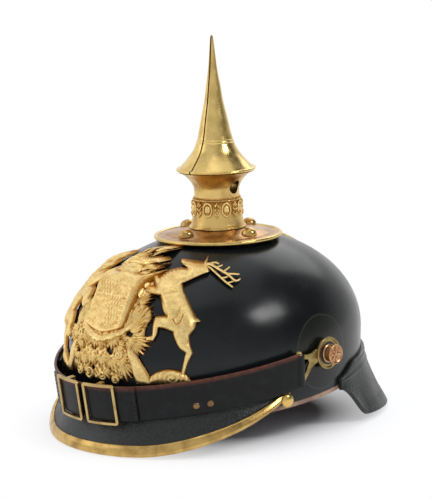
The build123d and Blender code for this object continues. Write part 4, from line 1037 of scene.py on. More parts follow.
@dataclass(frozen=True)
class StrapForm:
    """The chin strap's path, in a plane that dips to the front."""

    front_y: float = -124.3
    front_radius: float = 79.5
    half_span: float = 98.0
    side_y: float = -6.0
    axis_height: float = 51.5
    dip_share: float = 0.142
    thickness: float = 1.8
    end_y: float = -22.5

    @property
    def dip(self) -> float:
        """The plane's tilt in radians."""
        return atan(self.dip_share)

    def arcs(self) -> tuple[float, Flat, float, float]:
        """Front centre, side centre, side radius and the angle where the arcs meet."""
        front = self.front_y / cos(self.dip) + self.front_radius
        drop = self.side_y - front
        beside = self.half_span - self.front_radius
        side_radius = (self.half_span**2 + drop**2 - self.front_radius**2) / (2 * beside)
        meet = degrees(atan2(side_radius - self.half_span, drop))
        return front, (self.half_span - side_radius, self.side_y), side_radius, meet

    def plan(self, angle: float, offset: float) -> Flat:
        """A point of the strap's plan at an angle from the front.

        Args:
            angle: degrees from the front, positive to the wearer's left.
            offset: distance outside the strap's outer face.

        Returns:
            Distance across and along the strap's plane.
        """
        front, side, side_radius, meet = self.arcs()
        turn, sign = radians(abs(angle)), copysign(1, angle)
        if abs(angle) <= meet:
            radius = self.front_radius + offset
            return sign * radius * sin(turn), front - radius * cos(turn)
        radius = side_radius + offset
        return sign * (side[0] + radius * sin(turn)), side[1] - radius * cos(turn)

    def place(self, angle: float, offset: float, rise: float) -> np.ndarray:
        """A place by angle, offset from the outer face and height in the strap's plane.

        Args:
            angle: degrees from the front, positive to the wearer's left.
            offset: distance outside the strap's outer face.
            rise: distance above the strap's middle line.

        Returns:
            The place.
        """
        x, along = self.plan(angle, offset)
        cosine, sine = cos(self.dip), sin(self.dip)
        return np.array([x, along * cosine - rise * sine, self.axis_height + along * sine + rise * cosine])

    def outward(self, angle: float) -> np.ndarray:
        """Outward direction at an angle."""
        step = self.place(angle, 1, 0) - self.place(angle, 0, 0)
        return step / np.linalg.norm(step)

    def end_angle(self) -> float:
        """Angle where the strap reaches its hanger."""
        _, side, side_radius, _ = self.arcs()
        return degrees(acos((side[1] - self.end_y) / side_radius))

    def band(
        self, low: float, high: float, inner: float, outer: float, width: float, stations: int
    ) -> np.ndarray:
        """Cross-sections of one strap layer with rounded corners.

        Args:
            low: first angle.
            high: last angle.
            inner: offset of its inner face.
            outer: offset of its outer face.
            width: width of the layer.
            stations: number of cross-sections.

        Returns:
            Array of stations by points by three.
        """
        half, soft = width / 2, (outer - inner) * 0.28
        level, corner = half - soft, soft * 0.3
        ring = [(outer, rise) for rise in np.linspace(-level, level, 9)]
        ring += [(outer - corner, half - corner), (outer - soft, half)]
        ring += [(inner + soft, half), (inner + corner, half - corner)]
        ring += [(inner, rise) for rise in np.linspace(level, -level, 9)]
        ring += [(inner + corner, corner - half), (inner + soft, -half)]
        ring += [(outer - soft, -half), (outer - corner, corner - half)]
        rows = []
        for angle in np.linspace(low, high, stations):
            rows.append([self.place(angle, offset, rise) for offset, rise in ring])
        return np.array(rows)


PATH = StrapForm()


# Sub-assemblies


@dataclass
class Skull:
    """The lacquered leather skull with its edge, crown hole and rear vent hole."""

    segments: int = 160
    rings: int = 80
    crown_hole: float = 11.0
    vent_height: float = 54.0

    def build(self) -> None:
        """Models the skull from a sphere, its wall and its lower edge."""
        shell = begin(
            bpy.ops.mesh.primitive_uv_sphere_add, segments=self.segments, ring_count=self.rings, radius=1.0
        )
        shell.name = "skull_shell"
        shell.scale = (FORM.half_width * MM, FORM.half_length * MM, (FORM.crown - FORM.wall_top) * MM)
        shell.location = (0, 0, FORM.wall_top * MM)
        apply_place(shell)
        edit_all(shell)
        bpy.ops.mesh.bisect(
            plane_co=(0, 0, (FORM.wall_top + 0.01) * MM), plane_no=(0, 0, 1), clear_inner=True
        )
        bpy.ops.mesh.select_all(action="DESELECT")
        bpy.ops.mesh.select_mode(type="EDGE")
        bpy.ops.mesh.select_non_manifold()
        for _ in range(4):
            bpy.ops.mesh.extrude_region_move(TRANSFORM_OT_translate={"value": (0, 0, -11.0 * MM)})
        bpy.ops.mesh.select_mode(type="VERT")
        bpy.ops.mesh.select_all(action="DESELECT")
        close_edit()
        for vertex in shell.data.vertices:
            vertex.select = vertex.co.z > 0.1 and vertex.co.xy.length < self.crown_hole * MM
        bpy.ops.object.mode_set(mode="EDIT")
        bpy.ops.mesh.delete(type="VERT")
        close_edit()
        shift = -FORM.lean * FORM.crown * MM
        shell.data.transform(Matrix(((1, 0, 0, 0), (0, 1, FORM.lean, shift), (0, 0, 1, 0), (0, 0, 0, 1))))
        edit_all(shell)
        bpy.ops.mesh.bisect(
            plane_co=(0, 0, FORM.edge_height * MM), plane_no=(0, -FORM.edge_rise, 1), clear_inner=True
        )
        close_edit()
        tidy_mesh(shell)
        solidify(shell, FORM.thickness)
        bevel(shell, 0.7, 3, 50)
        hole = begin(bpy.ops.mesh.primitive_cylinder_add, vertices=32, radius=2.25 * MM, depth=12 * MM)
        hole.rotation_euler = (pi / 2, 0, 0)
        hole.location = (0, FORM.rear_y(self.vent_height, 0) * MM, self.vent_height * MM)
        apply_place(hole)
        cut(shell, hole)
        dress(shell, SKULL, ("skull",))


@dataclass
class Skirts:
    """The visor and the neck guard, with their seams and hems."""

    hem_width: float = 0.12

    def build(self) -> None:
        """Models both skirts and sews their stitches."""
        self.visor()
        self.guard()

    def visor(self) -> None:
        """The visor: smooth outside, with a stitched seam under the strap."""
        angles = np.linspace(-SKIRTS.visor_half, SKIRTS.visor_half, 150)
        rows = np.array([SKIRTS.section(SKIRTS.visor(a), a) for a in angles])
        dress(sweep("front_visor_leather", rows), SKIRT, ("front_visor",), 50)
        sewn = SKIRTS.visor_half - 3
        line, out = self.seam(SKIRTS.visor, np.linspace(-sewn, sewn, 120), 0.1)
        dress(stitch_row("visor_stitches", line, out, 2.4, 1.0), THREAD)

    def guard(self) -> None:
        """The neck guard: a raised hem along its rim and two lines of stitches."""
        angles = np.linspace(180 - SKIRTS.guard_half, 180 + SKIRTS.guard_half, 170)
        rows = np.array([SKIRTS.section(self.folded_guard(a), a, self.hem) for a in angles])
        dress(sweep("neck_guard_leather", rows), SKIRT, ("neck_guard",), 50)
        for name, share in (("guard_seam_stitches", 0.1), ("guard_hem_stitches", 0.86)):
            line, out = self.seam(self.folded_guard, np.linspace(108, 252, 150), share)
            dress(stitch_row(name, line, out, 2.4, 1.0), THREAD)

    def hem(self, share: np.ndarray) -> np.ndarray:
        """Outer face of the guard: a shallow fold at the seam and a thicker rim."""
        rim = 0.5 / (1 + np.exp(-(share - 1 + self.hem_width) * 60))
        fold = 0.45 * np.exp(-((share - 0.3) ** 2) / 0.0015)
        return rim + fold

    @staticmethod
    def folded_guard(azimuth: float) -> Line:
        """The guard's line at an azimuth up to 360 degrees."""
        return SKIRTS.guard(azimuth if azimuth <= 180 else azimuth - 360)

    @staticmethod
    def seam(
        line_at: Callable[[float], Line], angles: np.ndarray, share: float
    ) -> tuple[np.ndarray, np.ndarray]:
        """Places and outward directions of a seam at a share from seam to rim.

        Args:
            line_at: gives the leather's inner line at an azimuth.
            angles: azimuths of the seam's places.
            share: where it runs, from 0 at the top to 1 at the rim.

        Returns:
            The places, and the outward directions.
        """
        line, out = [], []
        for azimuth in angles:
            curve = SKIRTS.curve(SKIRTS.shifted(line_at(azimuth), SKIRTS.thickness + 0.08), 50)
            at = int(share * 49)
            step = curve[min(at + 1, 49)] - curve[max(at - 1, 0)]
            line.append(at_azimuth(azimuth, *curve[at]))
            out.append(at_azimuth(azimuth, -step[1], step[0]))
        return np.array(line), np.array(out)


@dataclass
class VisorTrim:
    """The brass binding of the visor's rim and its two end studs."""

    half_angle: float = 72.5
    depth: float = 6.3
    end_depth: float = 3.4
    lip: float = 1.2
    wall: float = 0.9
    bulge: float = 0.8
    stud_angle: float = 70.0
    stud_height: float = 30.0
    stud_seat: float = 5.75

    def build(self) -> None:
        """Models the binding and the studs."""
        rows = np.array([self.section(a) for a in np.linspace(-self.half_angle, self.half_angle, 170)])
        dress(sweep("visor_rim_binding", rows), TRIM_BRASS, ("visor_trim",), 40)
        places = []
        for angle in (-self.stud_angle, self.stud_angle):
            place = at_azimuth(angle, FORM.radius(angle, self.stud_height), self.stud_height)
            normal = FORM.normal(place)
            places.append(onto(place + normal * self.stud_seat, normal))
        studs = repeat("visor_binding_studs", stud_head("trim_stud", 4.5, 2.4, 4.0), places)
        dress(studs, BRASS, ("visor_trim_studs",))

    def section(self, azimuth: float) -> np.ndarray:
        """A folded cross-section: two flanges joined by a full round."""
        middle = SKIRTS.shifted(SKIRTS.visor(azimuth), SKIRTS.thickness / 2)
        foot, rim = np.array(middle[1]), np.array(middle[2])
        along = (rim - foot) / np.linalg.norm(rim - foot)
        normal = np.array([-along[1], along[0]])
        half = SKIRTS.thickness / 2 + self.wall
        depth = self.depth - (self.depth - self.end_depth) * (abs(azimuth) / self.half_angle) ** 4
        start = self.lip - half
        loop = []
        for side in (1, -1):
            rows = [(-depth, SKIRTS.thickness / 2 + 0.03), (-depth, half - 0.3)]
            for share in (0.08, 0.25, 0.45, 0.65, 0.85, 0.97):
                rows.append(
                    (-depth + (start + depth) * share, half + self.bulge * sin(pi * share**0.8) ** 0.7)
                )
            loop += [(forward, side * aside) for forward, aside in (rows if side > 0 else rows[::-1])]
            if side > 0:
                for at in range(1, 12):
                    turn = pi / 2 - pi * at / 12
                    loop.append((start + half * cos(turn), half * sin(turn)))
        loop += [(-0.1, -SKIRTS.thickness / 2 - 0.03), (-0.1, SKIRTS.thickness / 2 + 0.03)]
        return np.array(
            [at_azimuth(azimuth, *(rim + along * forward + normal * aside)) for forward, aside in loop]
        )


@dataclass
class SpikeStack:
    """Disc, studs, neck, ornament band and the spike itself."""

    disc_radius: float = 42.4
    bead_height: float = 125.9
    rise: float = 6.1
    hole_radius: float = 13.0
    sheet: float = 0.9
    stud_circle: float = 30.0
    boss_count: int = 8
    boss_height: float = 146.2
    band_drop: float = 1.5
    engraved: tuple[float, ...] = (189.4, 191.0)
    engraved_half: float = 0.32
    hollow_top: float = 233.9
    band_radius: float = 16.2

    def build(self) -> None:
        """Models the stack from the disc up."""
        self.disc()
        self.neck()
        self.ornament()
        self.spike()
        for node, finish in (
            ("base_pad", PAD), ("base_stud_washers", IRON), ("neck_socket", CAST),
            ("spike_base_plate", CAST), ("spike_stem", CAST),
        ):
            dress_node(node, finish)

    def under(self, radius: float) -> float:
        """Height of the disc's lower face."""
        share = (self.disc_radius - radius) / (self.disc_radius - self.hole_radius)
        return self.bead_height - 0.45 + self.rise * share

    def disc(self) -> None:
        """The spun disc with its rolled rim and a faint turned line."""
        top = self.sheet
        steps = [(self.hole_radius, 0.0), (self.hole_radius, top), (18.0, top), (24.0, top), (35.9, top)]
        steps += [(36.2, 0.75), (36.5, top), (40.2, top), (41.6, 0.8), (41.6, 0.1), (30.0, 0.0)]
        steps.append((self.hole_radius, 0.0))
        profile = [(radius, self.under(radius) + up) for radius, up in steps]
        rim = rolled([], (self.disc_radius, self.bead_height), 1.4, 0, 360, 25)
        dress(lathe("disc_rolled_rim", rim, 144), RIM_BRASS, angle=60)
        dress(lathe("disc_spun", profile, 144), DISC_BRASS, ("base_disc",), 50)
        slope = self.rise / (self.disc_radius - self.hole_radius)
        places = []
        for turn in (0, pi / 2, pi, 3 * pi / 2):
            x, y = cos(turn), sin(turn)
            seat = (self.stud_circle * x, self.stud_circle * y, self.under(self.stud_circle) + 0.95)
            places.append(onto(seat, (slope * x, slope * y, 1), (0, 1, 0)))
        studs = repeat("disc_studs", stud_head("disc_stud", 5.2, 4.5, 9.5), places)
        dress(studs, STUD_BRASS, ("base_studs",))

    def neck(self) -> None:
        """The hollow neck: stepped foot, bead, waist and flare, with an air hole each side."""
        outer: list[Flat] = [(19.5, 131.5), (19.5, 132.0)]
        outer = rolled(outer, (18.9, 132.1), 0.6, 0, 90, 5)
        outer = rolled(outer, (16.7, 133.9), 1.3, -70, 80, 12)
        outer += [(16.3, 135.8), (15.6, 136.3), (15.4, 137.0), (15.4, 152.9), (15.35, 154.5)]
        flare = [(15.3, 155.5), (15.5, 158.6), (17.0, 161.9), (19.2, 164.9), (21.8, 167.4), (25.0, 169.3)]
        outer += [tuple(p) for p in smooth_line(flare, 22)]
        outer = rolled(outer, (25.2, 169.35), 0.45, 10, 120, 6)
        inner = [(radius - 1.0, height) for radius, height in reversed(outer) if 137 < height < 169]
        neck = lathe("neck_spun", [*outer, *inner, (18.4, 131.5), (19.5, 131.5)], 128)
        for azimuth in (-97.0, 97.0):
            bore = begin(bpy.ops.mesh.primitive_cylinder_add, vertices=40, radius=4.6 * MM, depth=14 * MM)
            bore.data.transform(onto(at_azimuth(azimuth, 16.0, 159.4), at_azimuth(azimuth, 1.0, 0.0)))
            cut(neck, bore)
        dress(neck, NECK_BRASS, ("spike_neck",), 40)

    def round_the_band(self, aside: float, up: float, out: float = 0.0) -> Matrix:
        """Matrix to a place on the band: aside in degrees, up and out in millimetres."""
        place = at_azimuth(aside, self.band_radius + out, up)
        return onto(place, at_azimuth(aside, 1.0, 0.0))

    def ornament(self) -> None:
        """The pressed band: eight oval bosses in rings, leaf sprigs between, granules and cords."""
        profile: list[Flat] = [(15.45, 139.6)]
        profile = rolled(profile, (16.25, 140.1), 0.5, -90, 90, 8)
        profile += [(self.band_radius - 0.1, 140.7), (self.band_radius - 0.1, 151.8)]
        profile = rolled(profile, (16.25, 152.4), 0.5, -90, 90, 8)
        profile += [(15.45, 152.9), (15.45, 139.6)]
        sleeve = lathe("band_sleeve", profile, 128)
        parts = [sleeve]
        boss = begin(
            bpy.ops.mesh.primitive_uv_sphere_add, (2.1, 3.4, 2.1), segments=20, ring_count=12, radius=1.0
        )
        centres = [360 * (at + 0.5) / self.boss_count for at in range(self.boss_count)]
        parts.append(repeat("bosses", boss, [self.round_the_band(a, self.boss_height) for a in centres]))
        loop = begin(
            bpy.ops.mesh.primitive_torus_add, (3.0, 4.6, 4.0), major_segments=32, minor_segments=8,
            major_radius=1.0, minor_radius=0.2,
        )
        parts.append(
            repeat("boss_rings", loop, [self.round_the_band(a, self.boss_height, 0.25) for a in centres])
        )
        leaf = self.sprig_leaf()
        leaves = []
        for centre in [360 * at / self.boss_count for at in range(self.boss_count)]:
            for side in (-1, 1):
                for up, lean, size in ((143.2, 28, 1.0), (146.4, 34, 0.9), (149.2, 22, 0.8)):
                    turn = Matrix.Rotation(radians(-side * lean), 4, "Z") @ Matrix.Scale(size, 4)
                    leaves.append(self.round_the_band(centre + side * 3.4, up, 0.3) @ turn)
            leaves.append(self.round_the_band(centre, 150.2, 0.4) @ Matrix.Scale(0.8, 4))
            leaves.append(
                self.round_the_band(centre, 142.0, 0.4) @ Matrix.Rotation(pi, 4, "Z") @ Matrix.Scale(0.8, 4)
            )
        parts.append(repeat("sprigs", leaf, leaves))
        granule = begin(bpy.ops.mesh.primitive_ico_sphere_add, subdivisions=2, radius=0.62 * MM)
        grains = [self.round_the_band(360 * at / 60, 138.2, -0.45) for at in range(60)]
        grains += [self.round_the_band(360 * (at + 0.5) / 72, 153.5, -0.75) for at in range(72)]
        parts.append(repeat("granules", granule, grains))
        band = join("neck_band_pressed", parts)
        band.data.transform(Matrix.Translation((0, 0, -self.band_drop * MM)))
        radius = np.array([v.co.xy.length for v in band.data.vertices]) / MM
        # Painted shade: the deeper a point lies in the band, the darker the gilt paints it
        note(band, "hollow", np.clip(1.0 - (radius - 15.9) / 1.1, 0, 0.5))
        dress(band, GILT, ("neck_ornament_band",), 60)

    @staticmethod
    def sprig_leaf() -> Piece:
        """One pointed leaf of the band, 3 mm long, with a ridge."""
        leaf = begin(
            bpy.ops.mesh.primitive_uv_sphere_add, (0.85, 1.9, 1.5), segments=10, ring_count=6, radius=1.0
        )
        for vertex in leaf.data.vertices:
            if vertex.co.y > 0:
                vertex.co.x *= 1 - 0.65 * vertex.co.y / (1.9 * MM)
        return leaf

    def spike(self) -> None:
        """The spun spike: rolled foot, hollow flare, two engraved rings and a rounded point."""
        flare = [(25.1, 172.1), (19.4, 178.2), (15.3, 183.7), (12.9, 189.2), (11.2, 194.7), (8.9, 205.7)]
        flare += [(6.5, 216.7), (4.8, 227.7), (3.1, 238.6), (2.0, 249.6), (1.0, 259.6)]
        side = smooth_line(flare, 120)
        outer = []
        for radius, height in side:
            for ring in self.engraved:
                radius -= 0.28 * exp(-(((height - ring) / self.engraved_half) ** 2))
            outer.append((float(radius), float(height)))
        dense = []
        for ring in self.engraved:
            for step in (-0.7, -0.35, 0.0, 0.35, 0.7):
                height = ring + step
                radius = float(np.interp(height, side[:, 1], side[:, 0]))
                dense.append((radius - 0.3 * exp(-((step / self.engraved_half) ** 2)), height))
        outer = sorted([p for p in outer if not 188.4 < p[1] < 192.0] + dense, key=lambda p: p[1])
        foot = rolled([], (26.0, 171.1), 1.0, -170, 110, 18)
        tip = rolled([], (0.0, 260.5), 0.8, 20, 90, 6)
        hollow = [(max(radius - 0.9, 0.4), height) for radius, height in outer if height < self.hollow_top]
        profile = [*foot, *outer, *tip, (0.0, self.hollow_top), *hollow[::-1], (24.9, 171.5), foot[0]]
        cone = lathe("spike_spun", profile, 128)
        notch = begin(bpy.ops.mesh.primitive_cube_add, (1.3, 3.4, 3.0), size=1.0)
        notch.data.transform(Matrix.Translation(Vector((0, -27.2 * MM, 171.1 * MM))))
        notch.data.transform(Matrix.Rotation(radians(5.0), 4, "Z"))
        cut(cone, notch)
        dress(cone, SPIKE_BRASS, ("spike",), 35, body=Body.SPIKE)


@dataclass
class StrapSet:
    """Chin strap, its laps, rivets, tabs, stitches and buckles."""

    width: float = 23.0
    lap_width: float = 17.0
    fold_width: float = 20.0
    lap_angle: float = 47.0
    tab_end: float = 29.0
    tab_start: float = 3.2
    tab_thickness: float = 1.6
    gap: float = 0.15
    sewn_half: float = 9.6
    bare_from: float = 9.8
    bar_x: float = 94.7
    bar_y: float = -22.2
    buckle_start: float = 1.5
    buckle_length: float = 25.0
    wire: float = 2.0

    def build(self) -> None:
        """Models the strap and both buckles."""
        end = PATH.end_angle()
        main = sweep("strap_layer", PATH.band(-end, end, -PATH.thickness, 0.0, self.width, 220))
        parts = [main]
        for side in (-1, 1):
            low, high = sorted((side * self.lap_angle, side * end))
            lap = PATH.band(
                low, high, -2 * PATH.thickness - 0.05, -PATH.thickness - 0.02, self.lap_width, 50
            )
            parts.append(sweep("strap_lap", lap))
            parts.append(self.fold(side))
        strap = join("chin_strap_leather", parts)
        self.mark_edges(strap)
        dress(strap, STRAP, ("chin_strap",), 50, body=Body.STRAP)
        self.rivets()
        for side, body, name in ((1, Body.LEFT_BUCKLE, "left"), (-1, Body.RIGHT_BUCKLE, "right")):
            self.tab(side, body, name)
            self.buckle(side, body, name)

    def mark_edges(self, piece: Piece) -> None:
        """Notes which points lie on or just under the bare upper edge."""
        dip = PATH.dip
        up = Vector((0, -sin(dip), cos(dip)))
        middle = PATH.axis_height * cos(dip)
        values = [(v.co.dot(up) / MM - middle - self.bare_from) / 1.2 for v in piece.data.vertices]
        note(piece, "raw_edge", np.clip(values, 0, 1))

    def fold(self, side: int) -> Piece:
        """The leather eye round a hanger's front bar."""
        height = PATH.axis_height + PATH.dip_share * self.bar_y
        inner_x, inner_y, wall = 0.9, 1.8, PATH.thickness
        around = 40
        ring_size = 2 * around
        outside = [squared(ROUND * at / around, 0.7) for at in range(around)]
        inside = [squared(ROUND * at / around, 0.5) for at in reversed(range(around))]
        ring = [(x * (inner_x + wall), y * (inner_y + wall)) for x, y in outside]
        ring += [(x * inner_x, y * inner_y) for x, y in inside]
        rows = []
        for up in np.linspace(-self.fold_width / 2, self.fold_width / 2, 12):
            rows.append([(side * self.bar_x + x, self.bar_y + y, height + up) for x, y in ring])
        rows = np.array(rows)
        faces = []
        last_row = ring_size * (len(rows) - 1)
        for at in range(around):
            beside = (at + 1) % around
            for row in range(0, last_row, ring_size):
                above = row + ring_size
                for here, there in ((at, beside), (around + at, around + beside)):
                    faces.append((row + here, row + there, above + there, above + here))
            for row in (0, last_row):
                far = row + ring_size - 1
                faces.append((row + at, row + beside, far - beside, far - at))
        made = from_points("strap_fold", rows.reshape(-1, 3), faces)
        tidy_mesh(made)
        return made

    def rivets(self) -> None:
        """Two copper rivets each side, turned with a small dome."""
        fronts, backs = [], []
        for angle in (-54.0, -50.0, 50.0, 54.0):
            place, outward = PATH.place(angle, 0.0, -5.5), PATH.outward(angle)
            fronts.append(onto(place, outward))
            backs.append(onto(place - outward * (2 * PATH.thickness + 0.1), -outward))
        heads = [
            repeat("rivet_fronts", stud_head("rivet_front", 2.2, 0.9, 3.6), fronts),
            repeat("rivet_backs", stud_head("rivet_back", 2.2, 0.5, 0.5), backs),
        ]
        dress(join("strap_rivet_heads", heads), RIVET, ("strap_rivets",), body=Body.STRAP)

    def tab(self, side: int, body: Body, name: str) -> None:
        """A tab under a buckle, with a sewn square end.

        Args:
            side: 1 for the wearer's left, -1 for the right.
            body: the buckle's body.
            name: left or right.
        """
        low, high = side * self.tab_start, side * self.tab_end
        rows = PATH.band(low, high, self.gap, self.gap + self.tab_thickness, self.width, 70)
        tab = sweep(f"tab_leather_{name}", rows)
        self.mark_edges(tab)
        dress(tab, STRAP, (f"strap_tab_{name}",), 50, body=body)
        rows = []
        inner, outer, edge = self.tab_end - 1.0, 21.5, self.sewn_half
        corners = ((outer, edge), (inner, edge), (inner, -edge), (outer, -edge))
        for start, end in zip(corners, (*corners[1:], corners[0])):
            line, out = [], []
            for angle, rise in np.linspace(start, end, 24):
                line.append(PATH.place(side * angle, self.gap + self.tab_thickness + 0.1, rise))
                out.append(PATH.outward(side * angle))
            rows.append(stitch_row("tab_stitch", np.array(line), np.array(out), 1.9, 0.9, 0.5))
        dress(join(f"tab_stitches_{name}", rows), THREAD, body=body)

    def buckle(self, side: int, body: Body, name: str) -> None:
        """A rectangular frame bent to the strap, with lugs round its edges to a hidden bar.

        Args:
            side: 1 for the wearer's left, -1 for the right.
            body: the buckle's body.
            name: left or right.
        """
        per_mm = degrees(1 / PATH.front_radius)
        start, end = self.buckle_start, self.buckle_start + self.buckle_length * per_mm
        low = self.tab_thickness + 2 * self.gap
        inner_half = self.width / 2 + 0.35
        parts = [self.frame(side, start, end, low, inner_half)]
        middle, half = (start + end) / 2, 2.0 * per_mm
        back = -PATH.thickness - self.gap
        lower, top = back - 1.3, self.wire - 0.3
        ends = ((middle - half, 0.15), (middle + half, 0.15), (middle + half, top), (middle - half, top))
        for sign in (-1, 1):
            rows = []
            for depth in np.linspace(lower, low + top, 8):
                rows.append(
                    [PATH.place(side * angle, depth, sign * (inner_half + rise)) for angle, rise in ends]
                )
            parts.append(sweep("buckle_lug", np.array(rows)))
        ends = (
            (middle - half, lower), (middle + half, lower), (middle + half, back), (middle - half, back)
        )
        rows = []
        for rise in np.linspace(-inner_half - 0.6, inner_half + 0.6, 24):
            rows.append([PATH.place(side * angle, depth, rise) for angle, depth in ends])
        parts.append(sweep("buckle_bar", np.array(rows)))
        for part in parts[1:]:
            bevel(part, 0.25, 2)
        dress(
            join(f"buckle_frame_{name}", parts), BUCKLE_BRASS, (f"buckle_{name}",), 40,
            body=body,
        )

    def frame(self, side: int, start: float, end: float, low: float, inner_half: float) -> Piece:
        """The frame as one swept rounded bar round a rectangle.

        Args:
            side: 1 for the wearer's left, -1 for the right.
            start: angle of its inner end.
            end: angle of its outer end.
            low: height of its back above the strap.
            inner_half: half of its opening's height.

        Returns:
            The bar.
        """
        outer_half = inner_half + self.wire
        wire_angle = degrees(self.wire / PATH.front_radius)
        middle_half = (inner_half + outer_half) / 2
        low_angle, high_angle = start + wire_angle / 2, end - wire_angle / 2
        corner = 1.0
        per_mm = degrees(1 / PATH.front_radius)
        path: list[tuple[float, float, float]] = []
        corners = (
            (high_angle, middle_half, 0), (low_angle, middle_half, 90), (low_angle, -middle_half, 180),
            (high_angle, -middle_half, 270),
        )
        for angle, rise, turn in corners:
            inward_a = -corner * per_mm if angle == high_angle else corner * per_mm
            inward_r = -corner if rise > 0 else corner
            for step in range(7):
                now = radians(turn + step * 15)
                at_angle = angle + inward_a + corner * per_mm * cos(now)
                path.append((at_angle, rise + inward_r + corner * sin(now), now))
        dense = []
        for at, here in enumerate(path):
            onward = path[(at + 1) % len(path)]
            dense.append(here)
            gap = hypot((onward[0] - here[0]) / per_mm, onward[1] - here[1])
            if gap > 4:
                for share in np.linspace(0, 1, 12)[1:-1]:
                    angle, rise = (here[axis] + (onward[axis] - here[axis]) * share for axis in (0, 1))
                    dense.append((angle, rise, here[2]))
        rows = []
        half = self.wire / 2
        for angle, rise, now in dense:
            ring = []
            for at in range(12):
                across, out = (half * along for along in squared(ROUND * (at + 0.5) / 12, 0.6))
                turned = side * (angle + across * per_mm * cos(now))
                ring.append(PATH.place(turned, low + half + out, rise + across * sin(now)))
            rows.append(ring)
        return sweep("buckle_frame", np.array(rows), closed=True)


@dataclass
class SideFittings:
    """Posts, hangers and rosettes at the temples."""

    post_y: float = 5.0
    post_height: float = 55.2
    hanger_x: float = 94.7
    hanger_thickness: float = 1.4
    petals: int = 8

    def build(self) -> None:
        """Models both sides."""
        for side, name in ((1, "left"), (-1, "right")):
            self.hanger(side, name)
            self.rosette(side, name)
            dress_node(f"side_post_{name}", CAST)
        dress_node("side_post_nuts", IRON)

    def stand(self, side: int, x: float) -> Matrix:
        """Matrix from a piece's own z to the post's outward axis."""
        return onto((side * x, self.post_y, self.post_height), (side, 0, 0))

    def hanger(self, side: int, name: str) -> None:
        """A cast ring with a black leather washer as painted shade, and a short neck forking to the strap's
        bar.
        """
        outline = rolled([], (0.0, 0.0), 10.6, 22, 338, 49)
        lower = [(11.0, -4.6), (13.4, -5.4), (16.6, -7.6), (19.8, -11.4), (23.6, -15.4), (25.8, -17.6)]
        lower += [(27.6, -17.9), (28.8, -16.2)]
        upper = [(28.8, 1.4), (30.0, 3.0), (29.6, 5.2), (27.6, 5.9), (25.6, 5.0), (25.0, 3.4), (20.4, 2.3)]
        upper += [(15.4, 2.6), (11.2, 4.4)]
        loop = [*outline, *lower, *upper]
        slot = [(25.9, -13.8), (25.9, 0.2), (19.4, -0.8), (18.4, -3.4), (21.6, -8.8)]
        hole = rolled([], (0.0, 0.0), 3.1, 0, -345, 24)
        flat, corners = filled([np.array(loop), np.array(slot), np.array(hole)])
        plate = from_points("hanger", [(x, y, 0) for x, y in flat], corners)
        edit_all(plate)
        bpy.ops.mesh.remove_doubles(threshold=0.001 * MM)
        bpy.ops.mesh.dissolve_limited(angle_limit=radians(1))
        bpy.ops.mesh.normals_make_consistent(inside=False)
        close_edit()
        solidify(plate, self.hanger_thickness, 0.0)
        bevel(plate, 0.35, 3, 40)
        turn = Matrix(((0, 0, side, 0), (-1, 0, 0, 0), (0, 1, 0, 0), (0, 0, 0, 1)))
        plate.data.transform(turn)
        plate.data.transform(
            Matrix.Translation(Vector((side * self.hanger_x, self.post_y, self.post_height)) * MM)
        )
        rim = begin(
            bpy.ops.mesh.primitive_torus_add, major_segments=56, minor_segments=10, major_radius=9.9 * MM,
            minor_radius=0.8 * MM,
        )
        rim.data.transform(self.stand(side, self.hanger_x + self.hanger_thickness / 2))
        # A thin black leather washer inside the ring stands in as painted shade between the ring and the
        # hole
        shade_washer = lathe(
            "shade_washer", [(3.1, 0.0), (7.6, 0.0), (7.7, 0.2), (7.4, 0.42), (3.1, 0.42), (3.1, 0.0)], 48
        )
        shade_washer.data.transform(self.stand(side, self.hanger_x + self.hanger_thickness / 2 + 0.02))
        shade_washer.name = f"hanger_washer_{name}"
        dress(shade_washer, SKIRT, body=Body.STRAP)
        knob = stud_head("hanger_knob", 2.3, 1.7, 0.6)
        knob.data.transform(self.knob_place(side))
        made = join(f"hanger_cast_{name}", [plate, rim, knob])
        tidy_mesh(made, 0.002)
        dress(made, HANGER_BRASS, (f"strap_hanger_{name}",), 40, body=Body.STRAP)

    def knob_place(self, side: int) -> Matrix:
        """Matrix to the knob at the upper end of the strap's bar."""
        place = (
            side * (self.hanger_x + self.hanger_thickness / 2), self.post_y - 27.6, self.post_height + 3.4
        )
        return onto(place, (side, 0, 0))

    def rosette(self, side: int, name: str) -> None:
        """A turned cap with a flower of pointed petals round a small boss."""
        start = self.hanger_x + self.hanger_thickness / 2 + 0.46
        profile: list[Flat] = [(3.1, 0.0), (6.3, 0.0), (6.3, 0.6), (5.7, 1.0), (5.6, 4.9), (6.1, 5.4)]
        profile = rolled(profile, (6.0, 6.0), 0.55, -40, 120, 8)
        profile += [(5.3, 6.2), (5.0, 5.9), (2.0, 5.9), (1.9, 6.2), (0.0, 6.6)]
        cap = lathe("rosette_cap", profile, 64)
        cap.data.transform(self.stand(side, start))
        petal = begin(
            bpy.ops.mesh.primitive_uv_sphere_add, (0.95, 2.1, 0.95), segments=14, ring_count=8, radius=1.0
        )
        for vertex in petal.data.vertices:
            vertex.co.x *= 1 - 0.5 * abs(vertex.co.y) / (2.1 * MM)
            vertex.co.y += 2.9 * MM
        places = []
        for at in range(self.petals):
            spin = Matrix.Rotation(ROUND * at / self.petals, 4, "Z")
            places.append(self.stand(side, start + 6.05) @ spin)
        flower = repeat("rosette_petals", petal, places)
        boss = stud_head("rosette_boss", 1.6, 1.5, 0.5)
        boss.data.transform(self.stand(side, start + 6.1))
        dress(
            join(f"rosette_turned_{name}", [cap, flower, boss]), ROSETTE_GILT,
            (f"rosette_{name}",), 40,
        )


